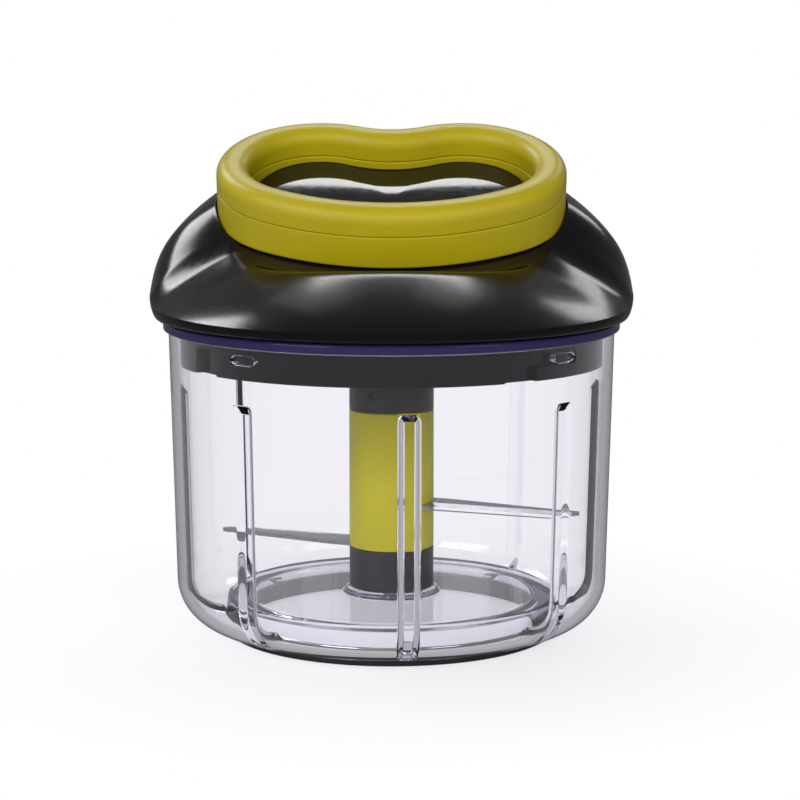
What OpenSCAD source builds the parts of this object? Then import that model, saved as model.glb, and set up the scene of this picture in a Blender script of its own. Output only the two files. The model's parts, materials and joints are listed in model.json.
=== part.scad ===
// Hand-pulled food chopper: clear bowl, blade shaft, bayonet lid with a cord drive, kidney-shaped pull handle.
// Millimetres. The origin is at the bottom centre, +Z is up and the bare side of the handle faces -Y.

/* [Overall] */
// Height of the whole object, to the top of the handle's back
total_h = 144; // [143:0.5:147]
// Greatest width of the lid
lid_d = 137; // [136:0.5:140]

/* [Bowl] */
// Height of the bowl's rim above the table
bowl_h = 89.9; // [89.4:0.1:90.4]
// Outside diameter of the bowl below the flange
bowl_d = 126.6; // [126.2:0.1:127.2]
// Wall of the bowl
bowl_wall = 2.4; // [2.2:0.1:2.6]
// Outside diameter of the bowl's flange
flange_d = 129.6; // [129:0.2:131]
// Thickness of the bowl's flange
flange_t = 2.6; // [2:0.1:3]
// Radius lost by the tapered wall from the flange down to the corner
bowl_taper = 1.7; // [1.2:0.1:2]
// Outside radius of the rounded bottom corner
corner_r = 13.6; // [12.8:0.2:14]
// Height of the raised floor inside the bowl
floor_z = 11; // [10.6:0.1:11.4]
// Number of upright ribs inside the bowl
rib_n = 8; // [4:4:8]
// Width of a rib
rib_w = 4.5; // [3.5:0.25:5]
// Depth of a rib
rib_d = 2.2; // [1.6:0.1:2.4]
// Height of the ribs' upper ends
rib_top = 71.5; // [66:0.5:74]
// Turn of the ribs and bayonet lugs about the axis
rib_turn = 4.5; // [0:0.5:8]
// Thickness of the foot ring below the bowl
foot_t = 2.2; // [1.8:0.1:2.6]

/* [Bayonet] */
// Outside diameter of the lid's skirt
skirt_d = 120; // [119.6:0.1:120.4]
// Depth of the skirt below the bowl's rim
skirt_h = 11.7; // [11.4:0.1:12.2]
// Height of the bayonet lugs below the bowl's rim
lug_drop = 6.3; // [6:0.1:6.6]
// Length of a bayonet lug
lug_len = 8.2; // [7:0.2:9]
// Height of a bayonet lug
lug_t = 2.6; // [2:0.1:2.8]
// Turn that frees the lid
lid_turn = 15; // [12:1:18]

/* [Handle] */
// Forward tilt of the handle
tilt = 21; // [20.5:0.25:21.5]
// Length of the handle ring
ring_len = 99.2; // [98:0.2:100]
// Width of the ring's bar
ring_w = 9.3; // [8.8:0.1:9.6]
// Height of the upper half above the seam
crown_h = 7.8; // [7.2:0.1:8.4]
// Rounding of the upper half
crown_r = 4; // [3:0.1:4.2]
// Height of the lower half below the seam
base_h = 9.4; // [9.1:0.1:9.7]
// Radius of the ring's ends, along the middle of the bar
end_r = 24.5; // [24:0.1:25]
// Depth of the hollow in the ring's back
dip = 4.5; // [3.5:0.25:5.5]

/* [Blade shaft] */
// Outside diameter of the blade shaft
shaft_d = 24.2; // [23:0.2:25]
// Height of the joint between foot and tube
tube_z0 = 24.3; // [23.8:0.1:24.8]
// Height of the joint between tube and collar
tube_z1 = 64; // [60:0.5:66]
// Height of the upper blade
blade_z = 36.4; // [34:0.2:40]
// Thickness of the blades
blade_t = 1.2; // [1:0.1:1.4]
// Reach of the upper blade from the axis
blade_r = 56.2; // [54:0.2:56.4]
// Direction of the upper blade, from +X
blade_az = -22.7; // [-40:0.1:0]

/* [Drive] */
// Diameter of the cord
cord_d = 2; // [1.8:0.1:2.1]
// Diameter of the drum's core
drum_d = 28; // [27.8:0.1:28.2]
// Turns of cord on the drum
cord_turns = 3.2; // [2:0.1:3.2]
// Rise of the cord in one turn
cord_pitch = 2.6; // [2.5:0.05:2.65]
// Diameter of the drum's axle
axle_d = 5; // [4.6:0.1:5.2]
// Running clearance of pins, on the radius
run_gap = 0.05; // [0.03:0.01:0.08]

/* [Hidden] */
$fn = 96;

// Bowl levels and radii
bowl_r = bowl_d / 2;
low_r = bowl_r - bowl_taper;
corner_x = low_r - corner_r;
corner_z = foot_t + corner_r;
plateau_r = corner_x - 1;
under_r = corner_x - 6;
rib_az = rib_turn - 90;
boss_top = floor_z + 1.1;
pin_r = 2.4;

// Lid levels
skirt_r = skirt_d / 2;
skirt_w = 4.4;
skirt_z = bowl_h - skirt_h;
lug_z = bowl_h - lug_drop;
lug_depth = 2.5;
lug_r = bowl_r - bowl_wall - lug_depth;
groove_r = lug_r - 0.4;
lip_z = bowl_h + 0.4;
lip_t = 2.4;
lip_gap = 0.2;
lip_r = lid_d / 2 - 5.3;
deck_z = skirt_z + 2.4;
deck_t = 2.2;
post_r = 47;
post_w = 3.6;
screw_r = 1.5;
screw_head_r = 3;
screw_head_t = 1.7;
screw_in = 10;
post_az = [20, 160, 200, 340];

// Lid dome
dome_r = lid_d / 2;
dome_z = bowl_h + 0.6;
rim_h = 6.3;
rim_in = 2.5;
dome_t = 2.4;
dome_na = 60;

// Handle ring: two end arcs, a long front arc and a hollow back arc, all tangent
end_x = ring_len / 2 - ring_w / 2 - end_r;
end_v = 4;
front_v = -26.45;
back_v = end_v + end_r - dip;
front_r = (end_x ^ 2 + (front_v - end_v) ^ 2 - end_r ^ 2) / (-2 * (end_r + front_v - end_v));
front_c = front_v + front_r;
back_r = (end_x ^ 2 + (back_v - end_v) ^ 2 - end_r ^ 2) / (2 * dip);
back_c = back_v + back_r;
front_a = atan2(end_x, front_c - end_v);
back_a = atan2(end_x, back_c - end_v);
seam_z = total_h - (end_v + end_r + ring_w / 2 - crown_r) * sin(tilt)
    - (crown_h - crown_r) * cos(tilt) - crown_r;
seat_gap = 0.35;
seat_floor = -base_h - 0.3;
plate_top = -3.6;
plate_t = 2;
plate_in = ring_w / 2 + 1.25;
plate_fit = 0.05;
plate_floor = 2.2;
ring_screw_a = [-30, 70];
ring_screw_r = 1.3;
ring_head_r = 2.5;
ring_head_t = 1.6;
ring_head_gap = 0.4;
ring_screw_in = 5;

// Drive levels
axle_r = axle_d / 2;
drum_z = deck_z + deck_t + 1.6;
drum_h = 14;
drum_lip = 1.6;
drum_r = drum_d / 2;
drum_lip_r = drum_r + cord_d + 1;
wind_r = drum_r + cord_d / 2 + 0.05;
wind_z1 = drum_z + drum_h - drum_lip - cord_d / 2 - 0.2;
wind_z0 = wind_z1 - cord_turns * cord_pitch;
hub_z = drum_z + 0.5;
hub_h = 4.7;
hub_r = 8.4;
web_z = drum_z + 6;
web_t = 2;
cover_z = drum_z + drum_h + 0.5;
cover_t = 1.4;
axle_in = 9;
axle_boss_r = 6.5;
shaft_r = shaft_d / 2;
collar_top = deck_z - 1.6;
foot_bottom = boss_top + 0.3;
core_r = 5.5;
journal_r = 4;
hex_r = 4;

// Cord route: tangent from the drum to a point under the eyelet, up round the pulley, along the handle's axis
eye_low = -14;
run_start = 0.6;
eye_y = back_v * cos(tilt) - eye_low * sin(tilt);
eye_z = seam_z + back_v * sin(tilt) + eye_low * cos(tilt);
tan_a = acos(wind_r / eye_y);
tan_p = [-wind_r * sin(tan_a), wind_r * cos(tan_a)];
run_len = sqrt(eye_y ^ 2 - wind_r ^ 2);
run_dir = [-tan_p[0] / run_len, (eye_y - tan_p[1]) / run_len];
pulley_r = 5;
pulley_lip_r = 6.2;
pulley_w = 4.4;
pulley_pin_r = 1.5;
eye_boss_r = 4.6;
pulley_p = [-pulley_r * run_dir[0], eye_y - pulley_r * run_dir[1], wind_z1 + pulley_r];
pulley_az = atan2(run_dir[1], run_dir[0]);
tan_az = atan2(tan_p[1], tan_p[0]);

// Places children in the handle's own plane: seam at zero, pull direction up
module seat() {
    translate([0, 0, seam_z])
    rotate([tilt, 0, 0])
    children();
}

// Points of one arc of the ring's middle line, each with its outward direction
function ring_arc(c, r, a0, a1, n, s) = [for (i = [0 : n - 1]) let (a = a0 + (a1 - a0) * i / n)
    [c + r * [cos(a), sin(a)], s * [cos(a), sin(a)]]];

// The whole middle line: front, right end, back, left end
ring_line = concat(
    ring_arc([0, front_c], front_r, -90 - front_a, -90 + front_a, 14, 1),
    ring_arc([end_x, end_v], end_r, -90 + front_a, 90 + back_a, 24, 1),
    ring_arc([0, back_c], back_r, 270 + back_a, 270 - back_a, 10, -1),
    ring_arc([-end_x, end_v], end_r, 90 - back_a, 270 - front_a, 24, 1));

// Area inside the ring's middle line, grown by d
module kidney(d) {
    polygon([for (p = ring_line) p[0] + d * p[1]]);
}

// Section of the upper half: upright sides and a rounded crown
crown_section = concat(
    [[ring_w / 2, 0]],
    [for (k = [0 : 5]) [ring_w / 2 - crown_r, crown_h - crown_r] + crown_r * [cos(18 * k), sin(18 * k)]],
    [for (k = [5 : 10]) [crown_r - ring_w / 2, crown_h - crown_r] + crown_r * [cos(18 * k), sin(18 * k)]],
    [[-ring_w / 2, 0]]);

// Carries a section round the whole middle line
module ring_sweep(section) {
    n = len(ring_line);
    m = len(section);
    pts = [for (p = ring_line) for (q = section)
        [p[0][0] + q[0] * p[1][0], p[0][1] + q[0] * p[1][1], q[1]]];
    faces = [for (i = [0 : n - 1]) for (j = [0 : m - 1]) let (k = (i + 1) % n, l = (j + 1) % m)
        each [[i * m + j, i * m + l, k * m + l], [i * m + j, k * m + l, k * m + j]]];
    polyhedron(pts, faces, convexity = 6);
}

// Stands children on the ring's four screw places
module ring_screw_places() {
    for (s = [0, 1])
        mirror([s, 0, 0])
        for (a = ring_screw_a)
            translate([end_x + end_r * cos(a), end_v + end_r * sin(a), 0])
            children();
}

// Smooth step from 0 to 1
function ease(t) = let (u = min(1, max(0, t))) u * u * (3 - 2 * u);

// Share of the bare front at angle a: one in front, none at the shoulders and back
function front(a) = let (d = abs(((a + 90 + 180) % 360) - 180)) ease((96 - d) / 24);

// Plan radius of the dome's upper edge at angle a: a rounded oval just outside the handle
function edge_r(a) = let (n = 2.6, w = ring_len / 2 + seat_gap + 0.6, d = 34.3)
    1 / ((abs(cos(a)) / w) ^ n + (abs(sin(a)) / d) ^ n) ^ (1 / n) - front(a) * 5;

// Height of the dome's upper edge: near the seam at the shoulders, at the handle's underside in front
function edge_z(a) = let (h = -1.7 * (1 - front(a)) + (seat_floor - 0.1) * front(a))
    seam_z + h / cos(tilt) + edge_r(a) * sin(a) * tan(tilt);

// Cubic curve between p and q with handles b and c
function curve(p, b, c, q, s) = (1 - s) ^ 3 * p + 3 * s * (1 - s) ^ 2 * b + 3 * s ^ 2 * (1 - s) * c + s ^ 3 * q;

// Height of the rounded rim at angle a, which a low wall above it limits
function rim_rise(a) = min(rim_h, 0.4 * (edge_z(a) - dome_z));

// Dome section above the rim: a round flank at the shoulders, an S in front
function flank(a, s) = let (f = front(a), rt = edge_r(a), zt = edge_z(a), z = dome_z + rim_rise(a))
    let (dz = zt - z, dr = dome_r - rt)
    curve([dome_r, z], [dome_r - 0.04 * f * dr, z + (0.52 - 0.06 * f) * dz],
        [rt + (0.53 - 0.13 * f) * dr, z + (0.78 - 0.28 * f) * dz], [rt, zt], s);

// Rounded lower edge of the dome at angle a
function rim_point(a, j) = [dome_r - rim_in * [1, 0.28, 0][j], dome_z + rim_rise(a) * [0, 1 / 3, 1][j]];

// Point j of the dome's section at angle a
function dome_point(a, j) = j < 3 ? rim_point(a, j) : flank(a, (j - 2) / 9);

// The same section moved inward by the wall
function inner_point(a, j) = j == 0 ? [dome_r - rim_in - dome_t, dome_z - 1] :
    let (p = dome_point(a, j), q = dome_point(a, min(11, j + 1)) - dome_point(a, j - 1))
    p + dome_t / norm(q) * [-q[1], q[0]];

// Closed body from twelve rings of section points, in or out
module dome_body(inside, top) {
    n = dome_na;
    pts = [for (i = [0 : n - 1]) let (a = i * 360 / n)
        for (j = [0 : 11]) let (p = inside ? inner_point(a, j) : dome_point(a, j))
            [p[0] * cos(a), p[0] * sin(a), p[1]]];
    sides = [for (i = [0 : n - 1]) for (j = [0 : 10]) let (k = (i + 1) % n)
        each [[i * 12 + j, i * 12 + j + 1, k * 12 + j + 1], [i * 12 + j, k * 12 + j + 1, k * 12 + j]]];
    caps = [for (i = [0 : n - 1]) let (k = (i + 1) % n)
        each [[i * 12 + 11, n * 12, k * 12 + 11], [k * 12, n * 12 + 1, i * 12]]];
    ends = [[0, 2, top], [0, 0, inside ? dome_z - 1 : dome_z]];
    polyhedron(concat(pts, ends), concat(sides, caps), convexity = 6);
}

// Everything below the plane h in the handle's frame
module below(h) {
    seat()
    translate([-80, -80, h - 120])
    cube([160, 160, 120]);
}

// Tube along points, six sides, m is a direction across the route
module cord(pts, m) {
    n = len(pts);
    r = cord_d / 2;
    rings = [for (i = [0 : n - 1])
        let (t = pts[min(n - 1, i + 1)] - pts[max(0, i - 1)])
        let (u = m - (m * t) / (t * t) * t, e = u / norm(u), f = cross(t, e) / norm(t))
            for (k = [0 : 5]) pts[i] + r * (cos(60 * k) * e + sin(60 * k) * f)];
    sides = [for (i = [0 : n - 2]) for (k = [0 : 5])
        let (a = i * 6 + k, b = i * 6 + (k + 1) % 6)
            each [[a, b + 6, b], [a, a + 6, b + 6]]];
    ends = [[for (k = [0 : 5]) k], [for (k = [5 : -1 : 0]) (n - 1) * 6 + k]];
    polyhedron(rings, concat(sides, ends), convexity = 6);
}

// Section of the space inside the bowl, less a lining of thickness d
module bowl_space(d) {
    w = bowl_wall + d;
    polygon([[0, floor_z + d], [plateau_r + d, floor_z + d], [plateau_r + 1, foot_t + w], [corner_x, foot_t + w],
        [corner_x, corner_z], [low_r - w, corner_z], [bowl_r - w, bowl_h - flange_t],
        [bowl_r - w, bowl_h + 1], [0, bowl_h + 1]]);
    intersection() {
        translate([corner_x, corner_z]) circle(r = corner_r - w);
        translate([corner_x, foot_t]) square([corner_r, corner_r]);
    }
}

// Section of one rib, with a sloping upper end
module rib_section() {
    difference() {
        bowl_space(0.01 - 0.3);
        bowl_space(rib_d);
        square([plateau_r + 1.2, bowl_h + 2]);
        polygon([[0, rib_top - 40], [bowl_r - bowl_wall - rib_d - 1, rib_top - 2], [bowl_r, rib_top + 1],
            [bowl_r, bowl_h + 2], [0, bowl_h + 2]]);
    }
}

// Clear bowl with ribs, bayonet lugs and a raised floor
module bowl() {
    rib_a = rib_w / (bowl_r - bowl_wall) * 180 / PI;
    color([0.85, 0.84, 0.92, 0.35])
    difference() {
        union() {
            rotate_extrude()
            difference() {
                union() {
                    polygon([[0, foot_t], [corner_x, foot_t], [corner_x, corner_z], [low_r, corner_z],
                        [bowl_r, bowl_h - flange_t], [flange_d / 2, bowl_h - flange_t],
                        [flange_d / 2, bowl_h], [0, bowl_h]]);
                    intersection() {
                        translate([corner_x, corner_z]) circle(r = corner_r);
                        translate([corner_x, foot_t]) square([corner_r, corner_r]);
                    }
                }
                bowl_space(0);
                polygon([[0, 0], [under_r, 0], [under_r - 0.8, floor_z - bowl_wall], [0, floor_z - bowl_wall]]);
            }
            for (i = [0 : rib_n - 1])
                rotate([0, 0, rib_az + i * 360 / rib_n - rib_a / 2])
                rotate_extrude(angle = rib_a)
                rib_section();
            for (i = [0 : 3])
                rotate([0, 0, rib_az + 45 + i * 90])
                bowl_lug();
            translate([0, 0, floor_z - 0.5]) cylinder(r = shaft_r + 1.3, h = boss_top - floor_z + 0.5);
            translate([0, 0, floor_z - bowl_wall - 3.4]) cylinder(r = 6, h = 3.9);
        }
        translate([0, 0, floor_z - bowl_wall - 2.4]) cylinder(r = pin_r, h = 20);
        translate([0, 0, foot_t - 0.01]) foot_tongue(0);
    }
}

// Bayonet lug: a flat pill standing in from the wall
module bowl_lug() {
    l = lug_len - lug_t;
    x0 = lug_r;
    d = lug_depth + bowl_wall / 2;
    translate([x0, -l / 2, lug_z - lug_t / 2]) cube([d, l, lug_t]);
    translate([x0, -l / 2, lug_z]) rotate([0, 90, 0]) cylinder(d = lug_t, h = d);
    translate([x0, l / 2, lug_z]) rotate([0, 90, 0]) cylinder(d = lug_t, h = d);
}

// Tongue that keys the foot ring into the bowl
module foot_tongue(g) {
    rotate_extrude()
    translate([corner_x - 3.8 + g, 0])
    square([1.6 - 2 * g, 1.2 - g]);
}

// Black anti-slip ring under the bowl
module foot_ring() {
    color([0.08, 0.08, 0.09])
    union() {
        rotate_extrude()
        translate([under_r + 0.4, 0])
        square([corner_x - under_r - 1, foot_t]);
        translate([0, 0, foot_t - 0.01]) foot_tongue(0);
    }
}

// Steel pin in the bowl's floor
module spindle_pin() {
    color([0.75, 0.76, 0.78])
    union() {
        translate([0, 0, floor_z - bowl_wall - 2.4])
        cylinder(r = pin_r, h = tube_z0 - 3.5 - floor_z + bowl_wall + 2.4);
        translate([0, 0, tube_z0 - 3.5]) cylinder(r1 = pin_r, r2 = pin_r - 0.8, h = 0.8);
    }
}

// Lid body: skirt with four bayonet grooves, sealing lip and mechanism deck
module lid_base() {
    pill_a = (lug_len / 2 + 0.9) / lug_r * 180 / PI;
    color([0.05, 0.045, 0.05])
    difference() {
        union() {
            rotate_extrude()
            difference() {
                union() {
                    translate([skirt_r - skirt_w, skirt_z]) square([skirt_w, lip_z - skirt_z]);
                    translate([skirt_r - skirt_w, lip_z]) square([lip_r - skirt_r + skirt_w, lip_t]);
                    translate([0, deck_z]) square([skirt_r - 1, deck_t]);
                    translate([0, deck_z - 0.2]) square([8, deck_t + 1.2]);
                }
                translate([0, deck_z - 1]) square([journal_r + run_gap, deck_t + 4]);
                translate([lip_r - 1.9, lip_z - 1]) square([1.6, 2.1]);
            }
        }
        for (i = [0 : 3])
            rotate([0, 0, rib_az + 45 + i * 90 - lid_turn - pill_a]) {
                rotate_extrude(angle = lid_turn + 2 * pill_a)
                translate([groove_r, lug_z - lug_t / 2 - 0.45])
                square([4, lug_t + 0.9]);
                rotate_extrude(angle = 2 * pill_a)
                translate([groove_r, skirt_z - 1])
                square([4, lug_z + lug_t / 2 + 0.45 - skirt_z + 1]);
            }
        for (a = post_az)
            rotate([0, 0, a])
            translate([post_r, 0, deck_z - 1])
            cylinder(r = screw_r + 0.1, h = deck_t + 2);
    }
}

// What stands in the dome's hollow, up to any ceiling: screw posts, axle boss, pulley cheeks, eyelet boss
module dome_stands() {
    for (a = post_az)
        rotate([0, 0, a])
        translate([post_r, 0, deck_z + deck_t])
        cylinder(r = post_w, h = total_h);
    translate([0, 0, cover_z + cover_t]) cylinder(r = axle_boss_r, h = total_h);
    pulley_cheeks();
    seat()
    translate([0, back_v, eye_low + 1])
    cylinder(r = eye_boss_r, h = total_h);
}

// Hollow under the dome's wall, round the lid base's lip and under the inlay
module dome_hollow() {
    translate([0, 0, dome_z - 2]) cylinder(r = lip_r + lip_gap, h = lip_z + lip_t + lip_gap - dome_z + 2);
    intersection() {
        dome_body(true, seam_z - 16);
        below(seat_floor - dome_t);
    }
    seat()
    translate([0, 0, -30])
    linear_extrude(30 + plate_top - plate_t - plate_floor)
    kidney(-ring_w / 2 - seat_gap - dome_t);
}

// Gloss dome with handle seat, pedestal, screw posts, axle boss and pulley cheeks
module lid_dome() {
    color([0.06, 0.05, 0.055])
    difference() {
        union() {
            dome_body(false, seam_z - 13.5);
            seat()
            translate([0, 0, -20])
            linear_extrude(20 + plate_top - 0.8)
            kidney(-ring_w / 2 - seat_gap);
            for (a = post_az)
                rotate([0, 0, a])
                translate([post_r, 0, deck_z + deck_t])
                cylinder(r = post_w - 0.2, h = dome_z + 2 - deck_z - deck_t);
        }
        seat()
        translate([0, 0, seat_floor])
        linear_extrude(40)
        difference() {
            kidney(ring_w / 2 + seat_gap);
            kidney(-ring_w / 2 - seat_gap);
        }
        seat()
        translate([0, 0, plate_top - plate_t])
        linear_extrude(10)
        kidney(-plate_in + plate_fit);
        difference() {
            dome_hollow();
            dome_stands();
        }
        for (a = post_az)
            rotate([0, 0, a])
            translate([post_r, 0, deck_z])
            cylinder(r = screw_r, h = deck_t + screw_in);
        translate([0, 0, cover_z]) cylinder(r = axle_r, h = axle_in);
        translate(pulley_p)
        rotate([0, 0, pulley_az])
        rotate([90, 0, 0])
        cylinder(r = pulley_pin_r, h = 30, center = true);
        seat()
        translate([0, back_v, 0])
        eyelet_body(1);
    }
}

// Two plates that carry the guide pulley
module pulley_cheeks() {
    translate([pulley_p[0], pulley_p[1], pulley_p[2] - 3.4])
    rotate([0, 0, pulley_az])
    for (s = [-1, 1])
        translate([-3, s * (pulley_w / 2 + 0.3 + 1.1) - 1.1, 0])
        cube([6, 2.2, total_h]);
}

// Outside of the cord eyelet in the handle's frame, lengthened by g at both ends
module eyelet_body(g) {
    translate([0, 0, eye_low + 1 - g]) cylinder(r = 2.6, h = seat_floor - eye_low - 1 + 2 * g);
    translate([0, 0, seat_floor - 0.8]) cylinder(r = 3.6, h = 0.8 + g);
}

// Gloss inlay inside the handle ring, left bare
module top_plate() {
    color([0.03, 0.03, 0.035])
    seat()
    translate([0, 0, plate_top - plate_t])
    linear_extrude(plate_t)
    kidney(-plate_in);
}

// Soft ring between lid and bowl
module lid_gasket() {
    color([0.2, 0.2, 0.22])
    rotate_extrude()
    translate([lip_r - 1.9, bowl_h + 0.05])
    square([1.6, lip_z + 1.1 - bowl_h - 0.05]);
}

// Four screws from the deck up into the dome's posts
module lid_screws() {
    color([0.7, 0.71, 0.73])
    for (a = post_az)
        rotate([0, 0, a])
        translate([post_r, 0, deck_z - screw_head_t]) {
            cylinder(r = screw_head_r, h = screw_head_t);
            cylinder(r = screw_r, h = screw_head_t + deck_t + screw_in - 2);
        }
}

// Steel axle of the drum, slotted for the spring's inner end
module drum_axle() {
    color([0.75, 0.76, 0.78])
    difference() {
        translate([0, 0, hub_z + hub_h - 1.2]) cylinder(r = axle_r, h = cover_z + axle_in - hub_z - hub_h + 1.2);
        translate([-0.35, -axle_r - 1, web_z + web_t + 0.5]) cube([0.7, 2 * axle_r + 2, drum_h - 8]);
    }
}

// Flat spiral spring: one unbroken strip from the axle out to the drum's wall
spring_turns = 3.5;
spring_w = 0.5;
spring_r0 = axle_r + 0.9;
spring_r1 = 11.4;
spring_steps = 84;
function spring_r(i) = spring_r0 + (spring_r1 - spring_r0) * i / spring_steps;
function spring_p(i, d) = let (a = 90 + 360 * spring_turns * i / spring_steps)
    (spring_r(i) + d) * [cos(a), sin(a)];
module return_spring() {
    outer = [for (i = [0 : spring_steps]) spring_p(i, spring_w / 2)];
    inner = [for (i = [spring_steps : -1 : 0]) spring_p(i, -spring_w / 2)];
    echo(spring_gap = (spring_r1 - spring_r0) / spring_turns - spring_w);
    color([0.6, 0.62, 0.65])
    translate([0, 0, web_z + web_t + 0.6])
    linear_extrude(drum_h - 8.6)
    union() {
        polygon(concat(outer, inner));
        translate([-spring_w / 2, -axle_r + 0.2]) square([spring_w, spring_r0 + axle_r]);
    }
}

// Disc that covers the spring
module spring_cover() {
    color([0.12, 0.12, 0.13])
    difference() {
        translate([0, 0, cover_z]) cylinder(r = 13.5, h = cover_t);
        translate([0, 0, cover_z - 1]) cylinder(r = axle_r, h = cover_t + 2);
    }
}

// Steel pin of the guide pulley
module pulley_pin() {
    color([0.75, 0.76, 0.78])
    translate(pulley_p)
    rotate([0, 0, pulley_az])
    rotate([90, 0, 0])
    cylinder(r = pulley_pin_r, h = pulley_w + 5, center = true);
}

// Smooth sleeve where the cord leaves the lid
module cord_eyelet() {
    color([0.8, 0.8, 0.82])
    seat()
    translate([0, back_v, 0])
    difference() {
        eyelet_body(0);
        translate([0, 0, eye_low]) cylinder(r = cord_d / 2 + 0.25, h = 10);
    }
}

// Cord from the drum, round the pulley and up into the eyelet
module cord_run() {
    t = [tan_p[0], tan_p[1], wind_z1];
    d = [run_dir[0], run_dir[1], 0];
    up = [0, 0, 1];
    axis = [0, -sin(tilt), cos(tilt)];
    low = [0, eye_y, eye_z];
    reach = run_len - pulley_r;
    route = concat(
        [t + run_start * d, t + (reach - 0.1) * d],
        [for (k = [0 : 6]) pulley_p + pulley_r * (sin(15 * k) * d - cos(15 * k) * up)],
        [[0, eye_y, eye_z - 2], low + 0.8 * axis, low + (seat_floor - eye_low - 0.8) * axis]);
    color([0.9, 0.9, 0.88])
    cord(route, [-run_dir[1], run_dir[0], 0]);
}

// Cord drum with spring recess above and ratchet recess below
module cord_drum() {
    teeth = [for (i = [0 : 11]) each [[12 * cos(30 * i), 12 * sin(30 * i)],
        [10.5 * cos(30 * i + 26), 10.5 * sin(30 * i + 26)]]];
    color([0.85, 0.85, 0.82])
    difference() {
        union() {
            translate([0, 0, drum_z]) cylinder(r = drum_r, h = drum_h);
            translate([0, 0, drum_z]) cylinder(r = drum_lip_r, h = drum_lip);
            translate([0, 0, drum_z + drum_h - drum_lip]) cylinder(r = drum_lip_r, h = drum_lip);
        }
        translate([0, 0, drum_z - 1]) linear_extrude(web_z - drum_z + 1) polygon(teeth);
        translate([0, 0, web_z + web_t]) cylinder(r = 12.2, h = drum_h);
        translate([0, 0, drum_z]) cylinder(r = axle_r + run_gap, h = drum_h);
    }
}

// Cord wound on the drum: one unbroken tube
module cord_winding() {
    n = round(cord_turns * 24);
    route = [for (i = [0 : n]) let (a = tan_az + 360 * cord_turns * i / n)
        [wind_r * cos(a), wind_r * sin(a), wind_z1 - cord_turns * cord_pitch * i / n]];
    gap = min([for (i = [0 : n - 24]) norm(route[i] - route[i + 24])]) - cord_d;
    echo(winding_gap = gap);
    color([0.9, 0.9, 0.88])
    cord(route, [0, 0, 1]);
}

// Grooved guide pulley
module guide_pulley() {
    color([0.85, 0.85, 0.82])
    translate(pulley_p)
    rotate([0, 0, pulley_az])
    rotate([90, 0, 0])
    rotate_extrude()
    difference() {
        translate([pulley_pin_r + run_gap, -pulley_w / 2])
        square([pulley_lip_r - pulley_pin_r - run_gap, pulley_w]);
        translate([pulley_r, 0]) circle(r = cord_d / 2 + 0.3, $fn = 48);
        translate([pulley_r, -cord_d / 2 - 0.3]) square([4, cord_d + 0.6]);
    }
}

// Outline of one pawl, grown by g
module pawl_shape(g) {
    translate([7, 0]) circle(r = 1.3 + g, $fn = 48);
    polygon([[7, -1.3 - g], [9.4, -1 - g], [10.8 + g, 1.4], [10.4 + g, 2.2 + g], [7, 1.3 + g]]);
}

// Driven hub that carries the pawls
module clutch_hub() {
    color([0.7, 0.7, 0.68])
    difference() {
        translate([0, 0, hub_z]) cylinder(r = hub_r, h = hub_h);
        translate([0, 0, hub_z - 1]) cylinder(r = hex_r, h = 4.2, $fn = 6);
        translate([0, 0, hub_z + hub_h - 1.3]) cylinder(r = axle_r + run_gap, h = 3);
        for (i = [0 : 2])
            rotate([0, 0, 120 * i])
            translate([0, 0, hub_z + 1])
            linear_extrude(hub_h - 2)
            pawl_shape(0.15);
    }
}

// Three one-way pawls
module clutch_pawls() {
    color([0.55, 0.56, 0.58])
    for (i = [0 : 2])
        rotate([0, 0, 120 * i])
        translate([0, 0, hub_z + 1.1])
        linear_extrude(hub_h - 2.2)
        pawl_shape(0);
}

// Steel spindle: hexagon in the hub, round in the deck, hexagon in the collar
module drive_shaft() {
    color([0.75, 0.76, 0.78])
    difference() {
        union() {
            translate([0, 0, tube_z1 + 4]) cylinder(r = hex_r, h = hub_z + 3 - tube_z1 - 4, $fn = 6);
            translate([0, 0, deck_z - 1.4]) cylinder(r = journal_r, h = hub_z - deck_z + 1.4);
        }
        translate([0, 0, deck_z - 1]) ring_cut(3.2, 0.8);
    }
}

// Annular cut outside radius r
module ring_cut(r, h) {
    rotate_extrude()
    translate([r, 0])
    square([6, h]);
}

// Clip that holds the spindle in the deck
module retaining_ring() {
    color([0.6, 0.61, 0.63])
    difference() {
        translate([0, 0, deck_z - 1]) cylinder(r = 6, h = 0.8);
        translate([0, 0, deck_z - 2]) cylinder(r = 3.2, h = 3);
        translate([0, -1.6, deck_z - 2]) cube([8, 3.2, 3]);
    }
}

// Black upper end of the blade shaft, with the core that carries tube and blades
module shaft_collar() {
    color([0.09, 0.09, 0.1])
    difference() {
        union() {
            translate([0, 0, tube_z1]) cylinder(r = shaft_r, h = collar_top - tube_z1);
            translate([0, 0, tube_z0]) cylinder(r = core_r, h = tube_z1 - tube_z0 + 1);
        }
        translate([0, 0, tube_z1 + 4]) cylinder(r = hex_r, h = 40, $fn = 6);
        rotate([0, 0, -117])
        translate([shaft_r - 0.6, 0, tube_z1 + 5])
        rotate([0, 90, 0])
        cylinder(r = 1, h = 2, $fn = 32);
    }
}

// Green tube of the blade shaft, slotted for the blades
module shaft_tube() {
    color([0.62, 0.58, 0.06])
    difference() {
        translate([0, 0, tube_z0]) cylinder(r = shaft_r, h = tube_z1 - tube_z0);
        translate([0, 0, tube_z0 - 1]) cylinder(r = shaft_r - 2.2, h = tube_z1 - tube_z0 + 2);
        rotate([0, 0, blade_az])
        translate([5, -6.5, blade_z])
        cube([20, 13, blade_t]);
        rotate([0, 0, blade_az + 180])
        translate([5, -6.5, tube_z0 - 1])
        cube([20, 13, blade_t + 1]);
    }
}

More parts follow.
